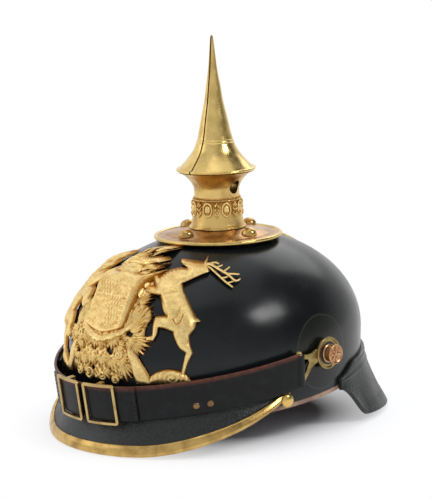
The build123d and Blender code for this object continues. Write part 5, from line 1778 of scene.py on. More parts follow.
@dataclass
class Inside:
    """Sweatband, liner and drawstring."""

    tongue_count: int = 8
    liner_width: float = 86.4
    liner_length: float = 102.9
    liner_wall_top: float = 40.0
    liner_crown: float = 98.0
    liner_foot: float = 35.0
    thickness: float = 1.2

    def build(self) -> None:
        """Models the soft inside."""
        self.sweatband()
        self.liner()
        self.drawstring()

    def sweatband(self) -> None:
        """A band with a turned-out raw lip under the skull's edge and a sewn top."""
        rows, line, out = [], [], []
        for azimuth in np.linspace(0, 360, 180, endpoint=False):
            radius = FORM.radius(azimuth, FORM.edge_height)
            edge = FORM.edge(-radius * cos(radians(azimuth)))
            wave = 0.12 * sin(radians(azimuth) * 23)
            outer, inner = radius - 3.1, radius - 4.5
            ring = [
                (outer, edge + 17.0), (outer, edge + 8.0), (outer, edge + 0.1), (outer, edge - 0.15),
                (radius - 0.5, edge - 0.2),
            ]
            ring += [
                (radius - 0.25, edge - 0.8), (radius - 0.3, edge - 2.2), (radius - 0.9, edge - 3.2),
                (radius - 2.6, edge - 3.3), (inner + 0.2, edge - 3.2),
            ]
            ring += [
                (inner - 0.05, edge - 2.4), (inner + wave * 0.4, edge + 3.0), (inner + wave, edge + 10.0),
                (inner, edge + 16.7),
            ]
            rows.append([at_azimuth(azimuth, r, z) for r, z in ring])
            line.append(at_azimuth(azimuth, inner - 0.1, edge + 15.0))
            out.append(at_azimuth(azimuth, -1.0, 0.0))
        band = sweep("sweatband_sewn", np.array(rows), closed=True)
        dress(band, BAND, ("sweatband",), 50)
        line.append(line[0])
        out.append(out[0])
        dress(
            stitch_row("sweatband_stitches", np.array(line), np.array(out), 3.0, 1.2, 0.5), CORD,
        )

    def liner_place(self, azimuth: float, climb: float, grow: float) -> np.ndarray:
        """A place on the liner: climb 0 at its foot to 1 at its crown.

        Args:
            azimuth: direction in degrees, 0 to the front.
            climb: share of the way up.
            grow: distance outside the liner's face.

        Returns:
            The place.
        """
        turn = radians(azimuth)
        rise = self.liner_crown - self.liner_wall_top + grow
        if climb < 0.1:
            share, z = 1.0, self.liner_foot + (self.liner_wall_top - self.liner_foot) * climb / 0.1
        else:
            tilt = (climb - 0.1) / 0.9 * pi / 2
            share, z = cos(tilt), self.liner_wall_top + rise * sin(tilt)
        x = (self.liner_width + grow) * share * sin(turn)
        y = -(self.liner_length + grow) * share * cos(turn) + FORM.centre_y(z)
        return np.array([x, y, z])

    def liner(self) -> None:
        """The sewn band and its eight tapering tongues, each a little cupped."""
        parts = []
        rows = []
        for azimuth in np.linspace(0, 360, 144, endpoint=False):
            ring = [self.liner_place(azimuth, climb, -0.05) for climb in np.linspace(0.0, 0.26, 6)]
            ring += [
                self.liner_place(azimuth, climb, -self.thickness) for climb in np.linspace(0.26, 0.0, 6)
            ]
            rows.append(ring)
        parts.append(sweep("liner_band", np.array(rows), closed=True))
        for at in range(self.tongue_count):
            middle = 360 * at / self.tongue_count
            rows = []
            for climb in np.linspace(0.24, 0.82, 26):
                share = (climb - 0.24) / 0.58
                half = (360 / self.tongue_count / 2 - 4.5) * (
                    1 - 0.12 * smooth_share((share - 0.85) / 0.15)
                )
                half -= 3.2 * smooth_share(share * 1.2)
                ring = []
                for side, grow in ((1, -0.1), (-1, -self.thickness)):
                    for turn in np.linspace(-1, 1, 11) * side:
                        cup = 0.5 * turn**2 * share
                        ring.append(self.liner_place(middle + half * turn, climb, grow - cup))
                rows.append(ring)
            parts.append(sweep("liner_tongue", np.array(rows)))
        liner = join("liner_leather_cut", parts)
        for side in (-1, 1):
            space = begin(bpy.ops.mesh.primitive_cylinder_add, vertices=32, radius=7.2 * MM, depth=24 * MM)
            space.data.transform(onto((side * 90.0, 5.0, 55.2), (side, 0, 0)))
            cut(liner, space)
        dress(liner, LINING, ("liner_tongues",), 50)

    def drawstring(self) -> None:
        """A twisted cord of three strands in an oval ring under the tongues' tips."""
        box_low, box_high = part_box("liner_drawstring")
        centre = (Vector(box_low) + Vector(box_high)) / 2 / MM
        wide = (box_high[0] - box_low[0]) / 2 / MM - 0.9
        long = (box_high[1] - box_low[1]) / 2 / MM - 0.95
        strands = []
        for strand in range(3):
            rows = []
            for at in range(300):
                turn = ROUND * at / 300
                twist = turn * 22 + strand * 2 * pi / 3
                out = Vector((cos(turn), sin(turn), 0))
                middle = centre + Vector((wide * cos(turn), long * sin(turn), 0))
                middle += out * 0.4 * cos(twist) + Vector((0, 0, 0.4 * sin(twist)))
                ring = []
                for step in range(8):
                    around = ROUND * step / 8
                    ring.append(middle + out * 0.48 * cos(around) + Vector((0, 0, 0.48 * sin(around))))
                rows.append(ring)
            strands.append(sweep("cord_strand", np.array(rows), closed=True))
        dress(join("liner_cord_twisted", strands), CORD, ("liner_drawstring",), 60)


@dataclass
class RearSpine:
    """Spine, vent cover and fixing stud at the back."""

    def build(self) -> None:
        """Gives the CAD spine, its vent cover and its stud their finishes."""
        for node in ("rear_spine", "rear_vent_cover"):
            dress_node(node, BRASS)
        dress_node("rear_spine_stud", STUD_BRASS)


# The stag without its antlers, in shares of its height across and up from its hind hoof
STAG_SHARES = (
    ((-0.322, 0.974), (-0.293, 0.98), (-0.183, 0.969), (-0.099, 0.956)), ((-0.061, 1),), ((-0.068, 0.943),),
    ((-0.05, 0.92), (-0.042, 0.882)), ((-0.118, 0.862), (-0.213, 0.828), (-0.29, 0.8)),
    ((-0.278, 0.747), (-0.227, 0.648), (-0.159, 0.528)), ((-0.116, 0.49),), ((-0.154, 0.48),),
    ((-0.169, 0.429), (-0.217, 0.37)), ((-0.218, 0.316), (-0.192, 0.214)),
    ((-0.24, 0.116), (-0.272, 0.009)), ((-0.313, 0),), ((-0.307, 0.051),),
    ((-0.287, 0.132), (-0.266, 0.218)), ((-0.323, 0.263), (-0.37, 0.354), (-0.383, 0.403)),
    ((-0.445, 0.425), (-0.511, 0.44)), ((-0.528, 0.38), (-0.565, 0.323)), ((-0.64, 0.327),),
    ((-0.64, 0.358),), ((-0.579, 0.374),), ((-0.571, 0.466), (-0.549, 0.534)),
    ((-0.495, 0.54), (-0.448, 0.543)), ((-0.479, 0.591), (-0.498, 0.668), (-0.508, 0.7)),
    ((-0.585, 0.715), (-0.642, 0.728)), ((-0.671, 0.642),), ((-0.691, 0.654),),
    ((-0.688, 0.725), (-0.654, 0.773), (-0.563, 0.786)), ((-0.598, 0.853), (-0.619, 0.916)),
    ((-0.633, 0.942),), ((-0.575, 0.939),), ((-0.552, 0.898), (-0.52, 0.854)),
    ((-0.434, 0.897), (-0.355, 0.916), (-0.262, 0.92)), ((-0.314, 0.946),),
)

# The lion, in the same shares, drawn facing the same way and mirrored when it is built
LION_SHARES = (
    ((-0.305, 0.875), (-0.27, 0.91)), ((-0.26, 0.97), (-0.19, 0.99), (-0.11, 0.96), (-0.07, 0.88)),
    ((-0.02, 0.8), (-0.05, 0.7)), ((-0.03, 0.62), (-0.06, 0.53), (-0.03, 0.47)),
    ((0.06, 0.5), (0.1, 0.6), (0.07, 0.7)), ((0.02, 0.77), (0.05, 0.84), (0.12, 0.87)),
    ((0.17, 0.83), (0.2, 0.76), (0.15, 0.72)), ((0.19, 0.6), (0.15, 0.47), (0.04, 0.41)),
    ((-0.03, 0.39), (-0.06, 0.34)), ((-0.03, 0.27), (-0.07, 0.19)),
    ((-0.14, 0.12), (-0.15, 0.06), (-0.12, 0)), ((-0.28, 0),), ((-0.27, 0.05), (-0.22, 0.08)),
    ((-0.2, 0.16), (-0.17, 0.22)), ((-0.24, 0.26), (-0.31, 0.33)), ((-0.39, 0.33), (-0.46, 0.3)),
    ((-0.5, 0.22), (-0.58, 0.22)), ((-0.62, 0.27), (-0.56, 0.31)),
    ((-0.52, 0.38), (-0.45, 0.43), (-0.36, 0.45)), ((-0.37, 0.52), (-0.39, 0.57)),
    ((-0.47, 0.57), (-0.55, 0.53)), ((-0.62, 0.52), (-0.64, 0.58), (-0.58, 0.61)),
    ((-0.5, 0.67), (-0.41, 0.69)), ((-0.47, 0.75), (-0.55, 0.79)), ((-0.58, 0.85), (-0.51, 0.88)),
    ((-0.43, 0.85), (-0.36, 0.8)), ((-0.3, 0.83),),
)

# Half of the plate's pierced ground, in millimetres across and up
GROUND_LINES = (
    ((6, 47.2), (12.4, 49.5)), ((17.5, 47.5), (23.5, 50.5)), ((26.5, 53.5), (27.5, 60)),
    ((29, 66), (28, 72.5)), ((31.5, 74), (33, 77)), ((32, 82), (33, 87)), ((29.5, 92), (24, 95)),
    ((22, 100), (20.5, 106)), ((14, 112), (0, 112)), ((0, 46.5),),
)

# Half of the shield, in millimetres
SHIELD_LINES = (
    ((7, 76.8), (13.5, 78.6)), ((17, 80.4), (18, 84)), ((18, 104),), ((18.8, 110), (20, 113.5)),
    ((10, 112.4), (0, 114)), ((0, 75.8),),
)

# Openings in the ground, each a place and a radius in millimetres
PIERCINGS = (
    (-16.8, 78.6, 1.9), (-3.8, 67.0, 1.9), (11.1, 66.2, 2.6), (14.6, 70.2, 1.5), (22.9, 77.7, 2.2),
    (10.8, 52.9, 1.4), (-3.6, 53.7, 1.5), (-22.0, 62.5, 2.2), (-25.2, 72.0, 1.8), (18.0, 62.5, 1.2),
)


@dataclass(frozen=True)
class Spray:
    """A fan of pointed leaves on the front plate, in millimetres and degrees."""

    root: Flat
    direction: float
    spread: float
    count: int
    length: float
    width: float
    lift: float = 1.0
    rise: float = 1.7


SPRAYS = (
    Spray((22.0, 80.0), 68.0, 84.0, 8, 15.5, 3.6),
    Spray((24.0, 78.6), 58.0, 70.0, 6, 10.0, 3.0, 1.8),
    Spray((26.2, 74.2), -24.0, 66.0, 6, 12.8, 3.4, 1.2),
    Spray((24.6, 75.0), -42.0, 90.0, 6, 8.0, 2.8, 1.9),
    Spray((21.6, 60.2), -72.0, 84.0, 7, 12.6, 3.2),
    Spray((20.8, 62.0), -60.0, 120.0, 7, 7.5, 2.6, 1.8),
    Spray((3.0, 74.5), -62.0, 96.0, 6, 9.0, 3.0, 1.3),
    Spray((12.0, 76.0), -58.0, 90.0, 6, 9.5, 3.0, 1.4),
    Spray((13.5, 61.5), -92.0, 150.0, 8, 9.5, 3.0, 1.1),
    Spray((5.0, 63.0), -84.0, 130.0, 7, 9.0, 3.0, 1.3),
    Spray((9.0, 54.0), -70.0, 110.0, 6, 6.6, 2.4, 1.6),
    Spray((17.5, 70.0), -30.0, 160.0, 8, 7.4, 2.6, 1.6),
    Spray((19.0, 96.0), 40.0, 80.0, 6, 9.0, 2.8, 1.2),
)


def dense_outline(
    stretches: Sequence[Sequence[Flat]], width: float, height: float, base: float, step: float = 0.6
) -> np.ndarray:
    """Turns an outline given in shares to evenly dense points.

    Args:
        stretches: runs of shares round the outline. Each starts where the one before ends, and a
            run of one point is straight.
        width: size that one share across stands for, negative to mirror.
        height: size that one share up stands for.
        base: height of share zero.
        step: spacing of the points.

    Returns:
        Array of places across and up.
    """
    points = []
    start = stretches[-1][-1]
    for stretch in stretches:
        known = np.array([(across * width, base + up * height) for across, up in (start, *stretch)])
        start = stretch[-1]
        length = np.sum(np.linalg.norm(np.diff(known, axis=0), axis=1))
        points.extend(smooth_line(known, max(3, int(length / step) + 1))[:-1])
    return np.array(points)


def inside_loops(places: np.ndarray, loops: Sequence[np.ndarray]) -> np.ndarray:
    """Whether places lie inside an odd number of loops.

    Args:
        places: places across and up.
        loops: closed outlines.

    Returns:
        Whether each place is inside.
    """
    odd = np.zeros(len(places), bool)
    for loop in loops:
        for start, end in zip(loop, np.roll(loop, -1, axis=0)):
            spans = (start[1] > places[:, 1]) != (end[1] > places[:, 1])
            cross = (end[0] - start[0]) * (places[:, 1] - start[1]) / (end[1] - start[1] + 1e-12) + start[0]
            odd ^= spans & (places[:, 0] < cross)
    return odd


def line_distance(places: np.ndarray, starts: np.ndarray, ends: np.ndarray) -> np.ndarray:
    """Distance from places to the nearest of many straight stretches.

    Args:
        places: places across and up.
        starts: first end of each stretch.
        ends: last end of each stretch.

    Returns:
        The distance of each place.
    """
    best = np.full(len(places), 1e9)
    for start, end in zip(starts, ends):
        run = end - start
        along = np.clip(((places - start) @ run) / max(float(run @ run), 1e-9), 0, 1)
        best = np.minimum(best, np.linalg.norm(places - start - along[:, None] * run, axis=1))
    return best


def edge_distance(places: np.ndarray, loops: Sequence[np.ndarray]) -> np.ndarray:
    """Distance from places to the nearest edge of any loop."""
    return np.minimum.reduce([line_distance(places, loop, np.roll(loop, -1, axis=0)) for loop in loops])


def filled(loops: Sequence[np.ndarray], inner: Sequence[np.ndarray] = ()) -> tuple[np.ndarray, np.ndarray]:
    """Fills an outline with triangles.

    Args:
        loops: the outline, then any holes.
        inner: places inside it that the triangles also use.

    Returns:
        The places, and the corner numbers of each triangle.
    """
    points, edges = [], []
    for loop in loops:
        first = len(points)
        points.extend(loop)
        edges.extend((first + at, first + (at + 1) % len(loop)) for at in range(len(loop)))
    points.extend(inner)
    verts, _, faces, *_ = delaunay_2d_cdt([Vector(p) for p in points], edges, [], 0, 1e-5)
    flat = np.array([(v.x, v.y) for v in verts])
    corners = np.array([face for face in faces if len(face) == 3])
    return flat, corners[inside_loops(flat[corners].mean(axis=1), loops)]


def both_halves(half: np.ndarray) -> np.ndarray:
    """A whole outline from its half at the wearer's left."""
    keep = half[half[:, 0] > 0.05]
    return np.concatenate([keep, keep[::-1] * np.array([-1, 1])])


def directions(line: np.ndarray) -> np.ndarray:
    """Direction of a line at each of its places."""
    steps = np.array([line[min(at + 1, len(line) - 1)] - line[max(at - 1, 0)] for at in range(len(line))])
    return steps / np.linalg.norm(steps, axis=1, keepdims=True)


def bend(piece: Piece, azimuth: float) -> None:
    """Lays a flat piece, with x across, y outwards and z up, round the skull along an azimuth."""
    count = len(piece.data.vertices)
    flat = np.empty(count * 3)
    piece.data.vertices.foreach_get("co", flat)
    flat = flat.reshape(-1, 3) / MM
    placed = FORM.cast(flat[:, 0], flat[:, 2], azimuth, flat[:, 1]) * MM
    piece.data.vertices.foreach_set("co", placed.ravel())
    piece.data.update()


def relief(
    name: str, loops: Sequence[np.ndarray],
    rise: Callable[[np.ndarray, np.ndarray, np.ndarray], np.ndarray], azimuth: float, spacing: float = 0.6,
) -> Piece:
    """Presses a sheet over an outline and lays it on the skull.

    Args:
        name: the piece's name.
        loops: the outline, then any holes.
        rise: height above the skull from across, up and the distance to the edge.
        azimuth: direction that the outline faces.
        spacing: distance between the sheet's points.

    Returns:
        The sheet with its wall, noting how deep each point lies under its surroundings, which the gilt
        paints as shade.
    """
    low, high = loops[0].min(axis=0), loops[0].max(axis=0)
    across, up = np.meshgrid(
        np.arange(low[0], high[0], spacing), np.arange(low[1], high[1], spacing * 0.866)
    )
    across = across + (np.arange(len(up)) % 2)[:, None] * spacing / 2
    grid = np.stack([across.ravel(), up.ravel()], axis=1)
    grid = grid[inside_loops(grid, loops)]
    grid = grid[edge_distance(grid, loops) > spacing * 0.45]
    flat, corners = filled(loops, grid)
    first, second, third = (flat[corners[:, at]] for at in range(3))
    area = (
        second[:, 0] - first[:, 0]
    ) * (third[:, 1] - first[:, 1]) - (second[:, 1] - first[:, 1]) * (third[:, 0] - first[:, 0])
    corners = np.where(area[:, None] < 0, corners[:, ::-1], corners)
    height = rise(flat[:, 0], flat[:, 1], edge_distance(flat, loops))
    pairs = np.concatenate([corners[:, [0, 1]], corners[:, [1, 2]], corners[:, [2, 0]]])
    around = height.copy()
    for _ in range(10):
        total, number = np.zeros(len(flat)), np.zeros(len(flat))
        for here, there in ((0, 1), (1, 0)):
            np.add.at(total, pairs[:, here], around[pairs[:, there]])
            np.add.at(number, pairs[:, here], 1)
        around = total / np.maximum(number, 1)
    made = from_points(name, np.stack([flat[:, 0], height, flat[:, 1]], axis=1), corners)
    # The depth under the surroundings becomes painted shade in the gilt's hollows
    note(made, "hollow", np.clip((around - height) * 2.2, 0, 1))
    bend(made, azimuth)
    solidify(made, 0.5, even=False)
    return made


@dataclass
class FrontPlate:
    """The gilt plate: shield, helm, crest, foliage, ribbon, stag and lion in high relief."""

    height: float = 68.7
    foot: float = 51.6
    azimuth: float = 43.0
    seat: float = 0.5
    edge: float = 0.7
    helm_x: float = -1.0

    def build(self) -> None:
        """Models every part of the plate and joins them as one pressing."""
        parts = [self.foliage(), self.shield(), *self.helm(), *self.crest()]
        parts += [self.supporter("stag_body", STAG_SHARES, 1, self.stag_form)]
        parts += [self.supporter("lion_body", LION_SHARES, -1, self.lion_form)]
        parts += self.antlers()
        for side in (1, -1):
            parts += [self.mound(side), self.ribbon(side)]
            for spray in SPRAYS:
                parts += self.fan(spray, side)
        parts += [self.swag(), *self.curls(), *self.flowers()]
        plate = join("front_plate_pressed", parts)
        dress(plate, GILT, ("front_plate",), 50)
        dress_node("front_plate_lugs", CAST)
        dress_node("front_plate_nuts", IRON)

    def pillow(self, distance: np.ndarray, reach: float, top: float) -> np.ndarray:
        """A rounded rise from the edge over a reach."""
        share = np.clip(distance / reach, 0, 1)
        return self.seat + self.edge + top * np.sqrt(1 - (1 - share) ** 2)

    @staticmethod
    def bumps(
        across: np.ndarray, up: np.ndarray, swells: Sequence[tuple[float, float, float, float]]
    ) -> np.ndarray:
        """Adds round swells, each a place, a radius and a height."""
        total = np.zeros_like(across)
        for x, z, radius, top in swells:
            total += top * np.exp(-((across - x) ** 2 + (up - z) ** 2) / radius**2)
        return total

    @staticmethod
    def groove(
        across: np.ndarray, up: np.ndarray, line: Sequence[Flat], width: float, depth: float
    ) -> np.ndarray:
        """Depth of a groove along a line.

        Args:
            across: places across.
            up: places up.
            line: a few places of the groove.
            width: half of its width.
            depth: its depth in the middle.

        Returns:
            How much each place is lowered.
        """
        places = np.stack([across, up], axis=1)
        points = smooth_line(line, 4 * len(line))
        return depth * np.exp(-((line_distance(places, points[:-1], points[1:]) / width) ** 2))

    def at(self, across: float, up: float) -> Flat:
        """A place on a supporter from shares of its height."""
        return across * self.height, self.foot + up * self.height

    def supporter(self, name: str, shares: Sequence[Sequence[Flat]], side: int, form: Callable) -> Piece:
        """Presses one supporter from its outline."""
        loop = dense_outline(shares, side * self.height, self.height, self.foot, 0.5)
        return relief(name, [loop], lambda u, z, d: form(side * u, z, d), side * self.azimuth, 0.5)

    def stag_form(self, across: np.ndarray, up: np.ndarray, distance: np.ndarray) -> np.ndarray:
        """Body of the stag: swelling chest, belly and haunch, with coat and joints."""
        height = self.pillow(distance, 6.0, 3.2)
        swells = [(*self.at(x, z), r, h) for x, z, r, h in (
            (-0.42, 0.7, 6.5, 1.2), (-0.35, 0.6, 6.0, 1.0), (-0.26, 0.5, 7.0, 1.6), (-0.24, 0.38, 5.0, 0.9),
            (
                -0.41, 0.83, 6.0, 0.7
            ), (-0.2, 0.94, 3.0, 0.5), (-0.5, 0.76, 4.5, 0.8), (-0.45, 0.48, 4.5, 0.9),
            (-0.3, 0.87, 4.5, 0.5),
        )]
        height += self.bumps(across, up, swells) * np.clip(distance / 2.0, 0, 1)
        for line, width, depth in (
            ([(-0.28, 0.56), (-0.31, 0.5), (-0.345, 0.485), (-0.375, 0.52)], 0.55, 0.7),
            ([(-0.375, 0.52), (-0.33, 0.56), (-0.31, 0.62)], 0.6, 0.4),
            ([(-0.5, 0.72), (-0.42, 0.735), (-0.33, 0.75)], 0.7, 0.35),
            ([(-0.47, 0.66), (-0.45, 0.6), (-0.43, 0.55)], 0.7, 0.35),
            ([(-0.27, 0.43), (-0.25, 0.36), (-0.24, 0.3)], 0.6, 0.3),
            ([(-0.315, 0.952), (-0.28, 0.952), (-0.25, 0.945)], 0.25, 0.45),
            ([(-0.185, 0.962), (-0.172, 0.965)], 0.45, 0.5),
            ([(-0.1, 0.955), (-0.075, 0.975), (-0.066, 0.99)], 0.35, 0.5),
        ):
            height -= self.groove(across, up, [self.at(*p) for p in line], width, depth)
        neck_x, neck_z = self.at(-0.45, 0.87)
        coat = np.exp(-(((across - neck_x) / 9.5) ** 2) - ((up - neck_z) / 4.5) ** 2)
        height += 0.28 * coat * np.sin((across * 0.5 + up) * 3.4)
        body = np.exp(-(((across + 24) / 9) ** 2) - ((up - 97) / 14) ** 2)
        return height + 0.05 * body * np.sin((across + up * 0.4) * 4.5)

    def lion_form(self, across: np.ndarray, up: np.ndarray, distance: np.ndarray) -> np.ndarray:
        """Body of the lion, with a tufted mane."""
        height = self.pillow(distance, 5.5, 3.6)
        mane_x, mane_z = self.at(-0.22, 0.8)
        mane = np.exp(-(((across - mane_x) / 9) ** 2) - ((up - mane_z) / 11) ** 2)
        height += mane * (1.0 + 0.5 * np.sin(across * 1.9 + np.sin(up * 0.9) * 1.2) * np.sin(up * 1.1))
        swells = [
            (*self.at(x, z), r, h)
            for x, z, r, h in ((-0.22, 0.55, 6, 0.9), (-0.2, 0.36, 7, 1.4), (-0.17, 0.92, 4, 1.2))
        ]
        return height + self.bumps(across, up, swells) * np.clip(distance / 2, 0, 1)

    def rod(self, name: str, points: Sequence[Flat], radii: Flat, heights: Flat, azimuth: float) -> Piece:
        """A tapering round rod laid over the skull through a few places.

        Args:
            name: the piece's name.
            points: places it passes, across and up.
            radii: its radius at the start and the end.
            heights: its height above the skull at the start and the end.
            azimuth: direction that it faces.

        Returns:
            The rod.
        """
        line = smooth_line(points, 8 * len(points))
        rows = []
        for (x, z), step, share in zip(line, directions(line), np.linspace(0, 1, len(line))):
            radius = radii[0] + (radii[1] - radii[0]) * share
            if share in (0, 1):
                radius *= 0.45
            lift = heights[0] + (heights[1] - heights[0]) * share
            ring = []
            for turn in np.linspace(0, ROUND, 8, endpoint=False):
                aside, out = radius * cos(turn), radius * sin(turn)
                ring.append((x - step[1] * aside, lift + out, z + step[0] * aside))
            rows.append(ring)
        made = sweep(name, np.array(rows))
        bend(made, azimuth)
        tidy_mesh(made, 0.001)
        return made

    def antlers(self) -> list[Piece]:
        """Two forked beams with their tines."""
        beams = (
            (
                ((-5.5, 116.4), (-3.0, 115.0), (2.5, 110.8), (7.9, 106.4), (12.4, 103.4)), (0.75, 0.45),
                (2.3, 1.5),
            ),
            (
                ((-5.0, 116.9), (-1.7, 116.3), (3.7, 113.4), (9.1, 110.5), (13.9, 106.9), (17.2, 107.5)),
                (0.75, 0.45), (3.0, 1.7),
            ),
            (((1.6, 114.6), (3.4, 115.2), (5.6, 115.7)), (0.55, 0.35), (2.6, 2.6)),
            (((6.0, 112.3), (7.9, 113.2), (10.2, 114.5)), (0.55, 0.35), (2.4, 2.4)),
            (((8.6, 110.9), (12.2, 110.6), (16.5, 110.0)), (0.55, 0.35), (2.2, 1.8)),
            (((5.0, 108.9), (8.2, 109.2), (9.6, 110.3)), (0.5, 0.35), (1.9, 2.0)),
            (((8.8, 105.9), (11.4, 106.4), (14.1, 107.2)), (0.5, 0.35), (1.7, 1.9)),
            (((-3.6, 116.8), (0.4, 117.3), (3.2, 116.4)), (0.5, 0.35), (3.0, 2.6)),
        )
        return [self.rod("antler", line, radii, heights, self.azimuth) for line, radii, heights in beams]

    def leaf(
        self, root: Flat, tip: Flat, width: float, lift: float, rise: float, bow: float,
        azimuth: float = 0.0,
    ) -> Piece:
        """One pointed leaf with a midrib, laid over the skull.

        Args:
            root: where it starts.
            tip: where it ends.
            width: its widest.
            lift: height of its ends above the skull.
            rise: how much its middle stands higher.
            bow: how far its middle bends aside.
            azimuth: direction that it faces.

        Returns:
            The leaf.
        """
        start, end = np.array(root), np.array(tip)
        length = float(np.linalg.norm(end - start))
        forward = (end - start) / length
        aside = np.array([-forward[1], forward[0]])
        rows = []
        for share in (0.0, 0.1, 0.25, 0.42, 0.6, 0.76, 0.89, 0.97, 1.0):
            middle = start + forward * length * share + aside * bow * sin(pi * share)
            full = 0.3 + 0.7 * sin(
                pi * min(share * 1.25 + 0.1, 1) ** 0.9
            ) if share < 0.75 else 1.5 * (1.02 - share)
            half = max(width / 2 * full, 0.12)
            out = lift + rise * sin(pi * (0.18 + 0.7 * share))
            ring = []
            for turn, drop in (
                (-1, 0.55), (-0.62, 0.16), (-0.25, 0.02), (0, 0.28), (0.25, 0.02), (0.62, 0.16), (1, 0.55)
            ):
                ring.append((*(middle + aside * half * turn), out - drop * min(rise, 1.6) * 0.9))
            ring += [
                (*(middle + aside * half * 0.9), self.seat), (*(middle - aside * half * 0.9), self.seat)
            ]
            rows.append([(x, h, z) for x, z, h in ring])
        made = sweep("plate_leaf", np.array(rows))
        heights = np.array([v.co.y for v in made.data.vertices]) / MM
        # Painted shade: the lower a point lies towards the skull, the darker the gilt paints it
        note(made, "hollow", np.clip(1 - (heights - self.seat) / (lift + rise - self.seat) * 1.15, 0, 1))
        bend(made, azimuth)
        tidy_mesh(made, 0.001)
        return made

    def fan(self, spray: Spray, side: int) -> list[Piece]:
        """The leaves of one spray, the middle ones longest and on top.

        Args:
            spray: sizes of the spray.
            side: 1 for the wearer's left, -1 for the right.

        Returns:
            The leaves.
        """
        made = []
        for at in range(spray.count):
            share = at / (spray.count - 1) - 0.5 if spray.count > 1 else 0.0
            turn = radians(spray.direction + spray.spread * share)
            length = spray.length * (1 - 0.45 * share**2 + 0.06 * sin(at * 2.4))
            x, z = spray.root
            root = (side * (x + 0.8 * cos(turn)), z + 0.8 * sin(turn))
            tip = (side * (x + length * cos(turn)), z + length * sin(turn))
            lift = spray.lift + 0.5 * (1 - 2 * abs(share)) + 0.15 * (at % 2)
            made.append(self.leaf(root, tip, spray.width, lift, spray.rise, side * 0.5 * share))
        return made

    def foliage(self) -> Piece:
        """The pierced ground of the centre, hammered in small lumps."""
        loops = [both_halves(dense_outline(GROUND_LINES, 1.0, 1.0, 0.0))]
        for x, z, radius in PIERCINGS:
            turns = np.linspace(0, ROUND, 16, endpoint=False)
            wobble = radius * (1 + 0.18 * np.sin(turns * 3 + x))
            loops.append(np.stack([x + wobble * np.cos(turns), z + wobble * np.sin(turns)], axis=1))
        return relief("plate_ground", loops, self.ground_form, 0.0, 0.75)

    def ground_form(self, across: np.ndarray, up: np.ndarray, distance: np.ndarray) -> np.ndarray:
        """Height of the ground between the leaves."""
        lumps = np.sin(
            across * 1.25 + 1.3 * np.sin(up * 0.62)
        ) * np.sin(up * 1.05 + 1.1 * np.sin(across * 0.55))
        fine = np.sin(across * 2.6 + up * 1.1) * np.sin(up * 2.2 - across * 0.9)
        return self.pillow(distance, 1.6, 0.6) + np.clip(distance / 1.2, 0, 1) * (
            0.55 * lumps + 0.22 * fine
        )

    def shield(self) -> Piece:
        """The quartered shield: tall bevelled sides, a raised rim and small charges in rows."""
        loop = both_halves(dense_outline(SHIELD_LINES, 1.0, 1.0, 0.0, 0.5))
        return relief("plate_shield", [loop], self.shield_form, 0.0, 0.45)

    def shield_form(self, across: np.ndarray, up: np.ndarray, distance: np.ndarray) -> np.ndarray:
        """Height of the shield's sides, rim, dividing bars and charges."""
        x, z = across, up - 99.5
        face = np.minimum(2.3 + 0.0085 * (up - 80) ** 2 + 0.0062 * x**2, 9.5)
        side = np.clip(distance / 1.6, 0, 1)
        height = self.seat + 0.4 + face * side**0.8
        field = np.clip((distance - 2.2) / 0.5, 0, 1)
        rows = np.where(z > 0, 2.7, 2.9)
        stagger = np.where(np.floor(z / rows) % 2 > 0, 0.5, 0.0)
        cell_x = (x / 2.6 + stagger) % 1 - 0.5
        cell_z = (z / rows) % 1 - 0.5
        lozenge = np.clip(1 - 2.3 * np.abs(cell_x) - 2.0 * np.abs(cell_z), 0, 1)
        curl = np.clip(1 - 3.0 * np.abs(np.hypot(cell_x * 1.3, cell_z) - 0.26), 0, 1)
        bars = np.clip(np.sin(z * 2 * pi / 3.0) * 2, 0, 1)
        right_low = (x > 0) & (z < 0)
        left_top = (x < 0) & (z > 0)
        charge = np.where(right_low, np.where(x > 11, bars, curl), np.where(left_top, curl, lozenge))
        cross = np.exp(-((x / 0.5) ** 2)) + np.exp(-((z / 0.5) ** 2))
        height += field * (0.42 * charge * (1 - np.clip(cross, 0, 1)) + 0.45 * np.clip(cross, 0, 1) - 0.12)
        return height

    def helm(self) -> list[Piece]:
        """A barred helm with a leafed coronet and mantling curling away on both sides."""
        turns = np.linspace(0, ROUND, 48, endpoint=False)
        loop = np.stack([self.helm_x + 8.6 * np.cos(turns), 113.6 + 5.8 * np.sin(turns)], axis=1)

        def form(across: np.ndarray, up: np.ndarray, distance: np.ndarray) -> np.ndarray:
            """Height of the helm, with its bars and brow line."""
            share = np.clip(distance / 5.2, 0, 1)
            bars = np.sin((across - self.helm_x) * ROUND / 2.3)
            window = np.exp(-(((up - 112.2) / 2.4) ** 4)) * np.exp(-(((across - self.helm_x) / 5.4) ** 4))
            brow = self.groove(across, up, [(self.helm_x - 7, 115.2), (self.helm_x + 7, 115.2)], 0.35, 0.5)
            return 2.0 + 6.6 * np.sqrt(share * (2 - share)) - 0.7 * window * np.clip(bars, 0, 1) - brow

        parts = [relief("plate_helm", [loop], form, 0.0, 0.5)]
        for at in range(7):
            x = self.helm_x - 7.2 + 2.4 * at
            parts.append(self.leaf((x, 116.4), (x * 1.05, 119.4 + 0.5 * (at % 2)), 2.2, 6.2, 1.4, 0.0))
        for side in (-1, 1):
            for root, tip, width, lift, bow in (
                ((6.0, 116.4), (14.8, 118.0), 3.4, 4.6, 1.2), ((7.0, 114.0), (16.6, 114.2), 3.6, 4.4, 1.4),
                ((8.0, 111.5), (17.6, 109.6), 3.8, 4.0, 1.2), (
                    (11.0, 113.5), (17.4, 117.0), 2.8, 3.2, -1.0
                ),
                ((14.0, 108.5), (20.0, 104.4), 3.2, 3.2, 1.0), ((15.0, 105.0), (20.4, 98.6), 3.0, 2.8, 0.8),
            ):
                start = (self.helm_x + side * root[0], root[1])
                end = (self.helm_x + side * tip[0], tip[1])
                parts.append(self.leaf(start, end, width, lift, 2.0, side * bow))
        return parts

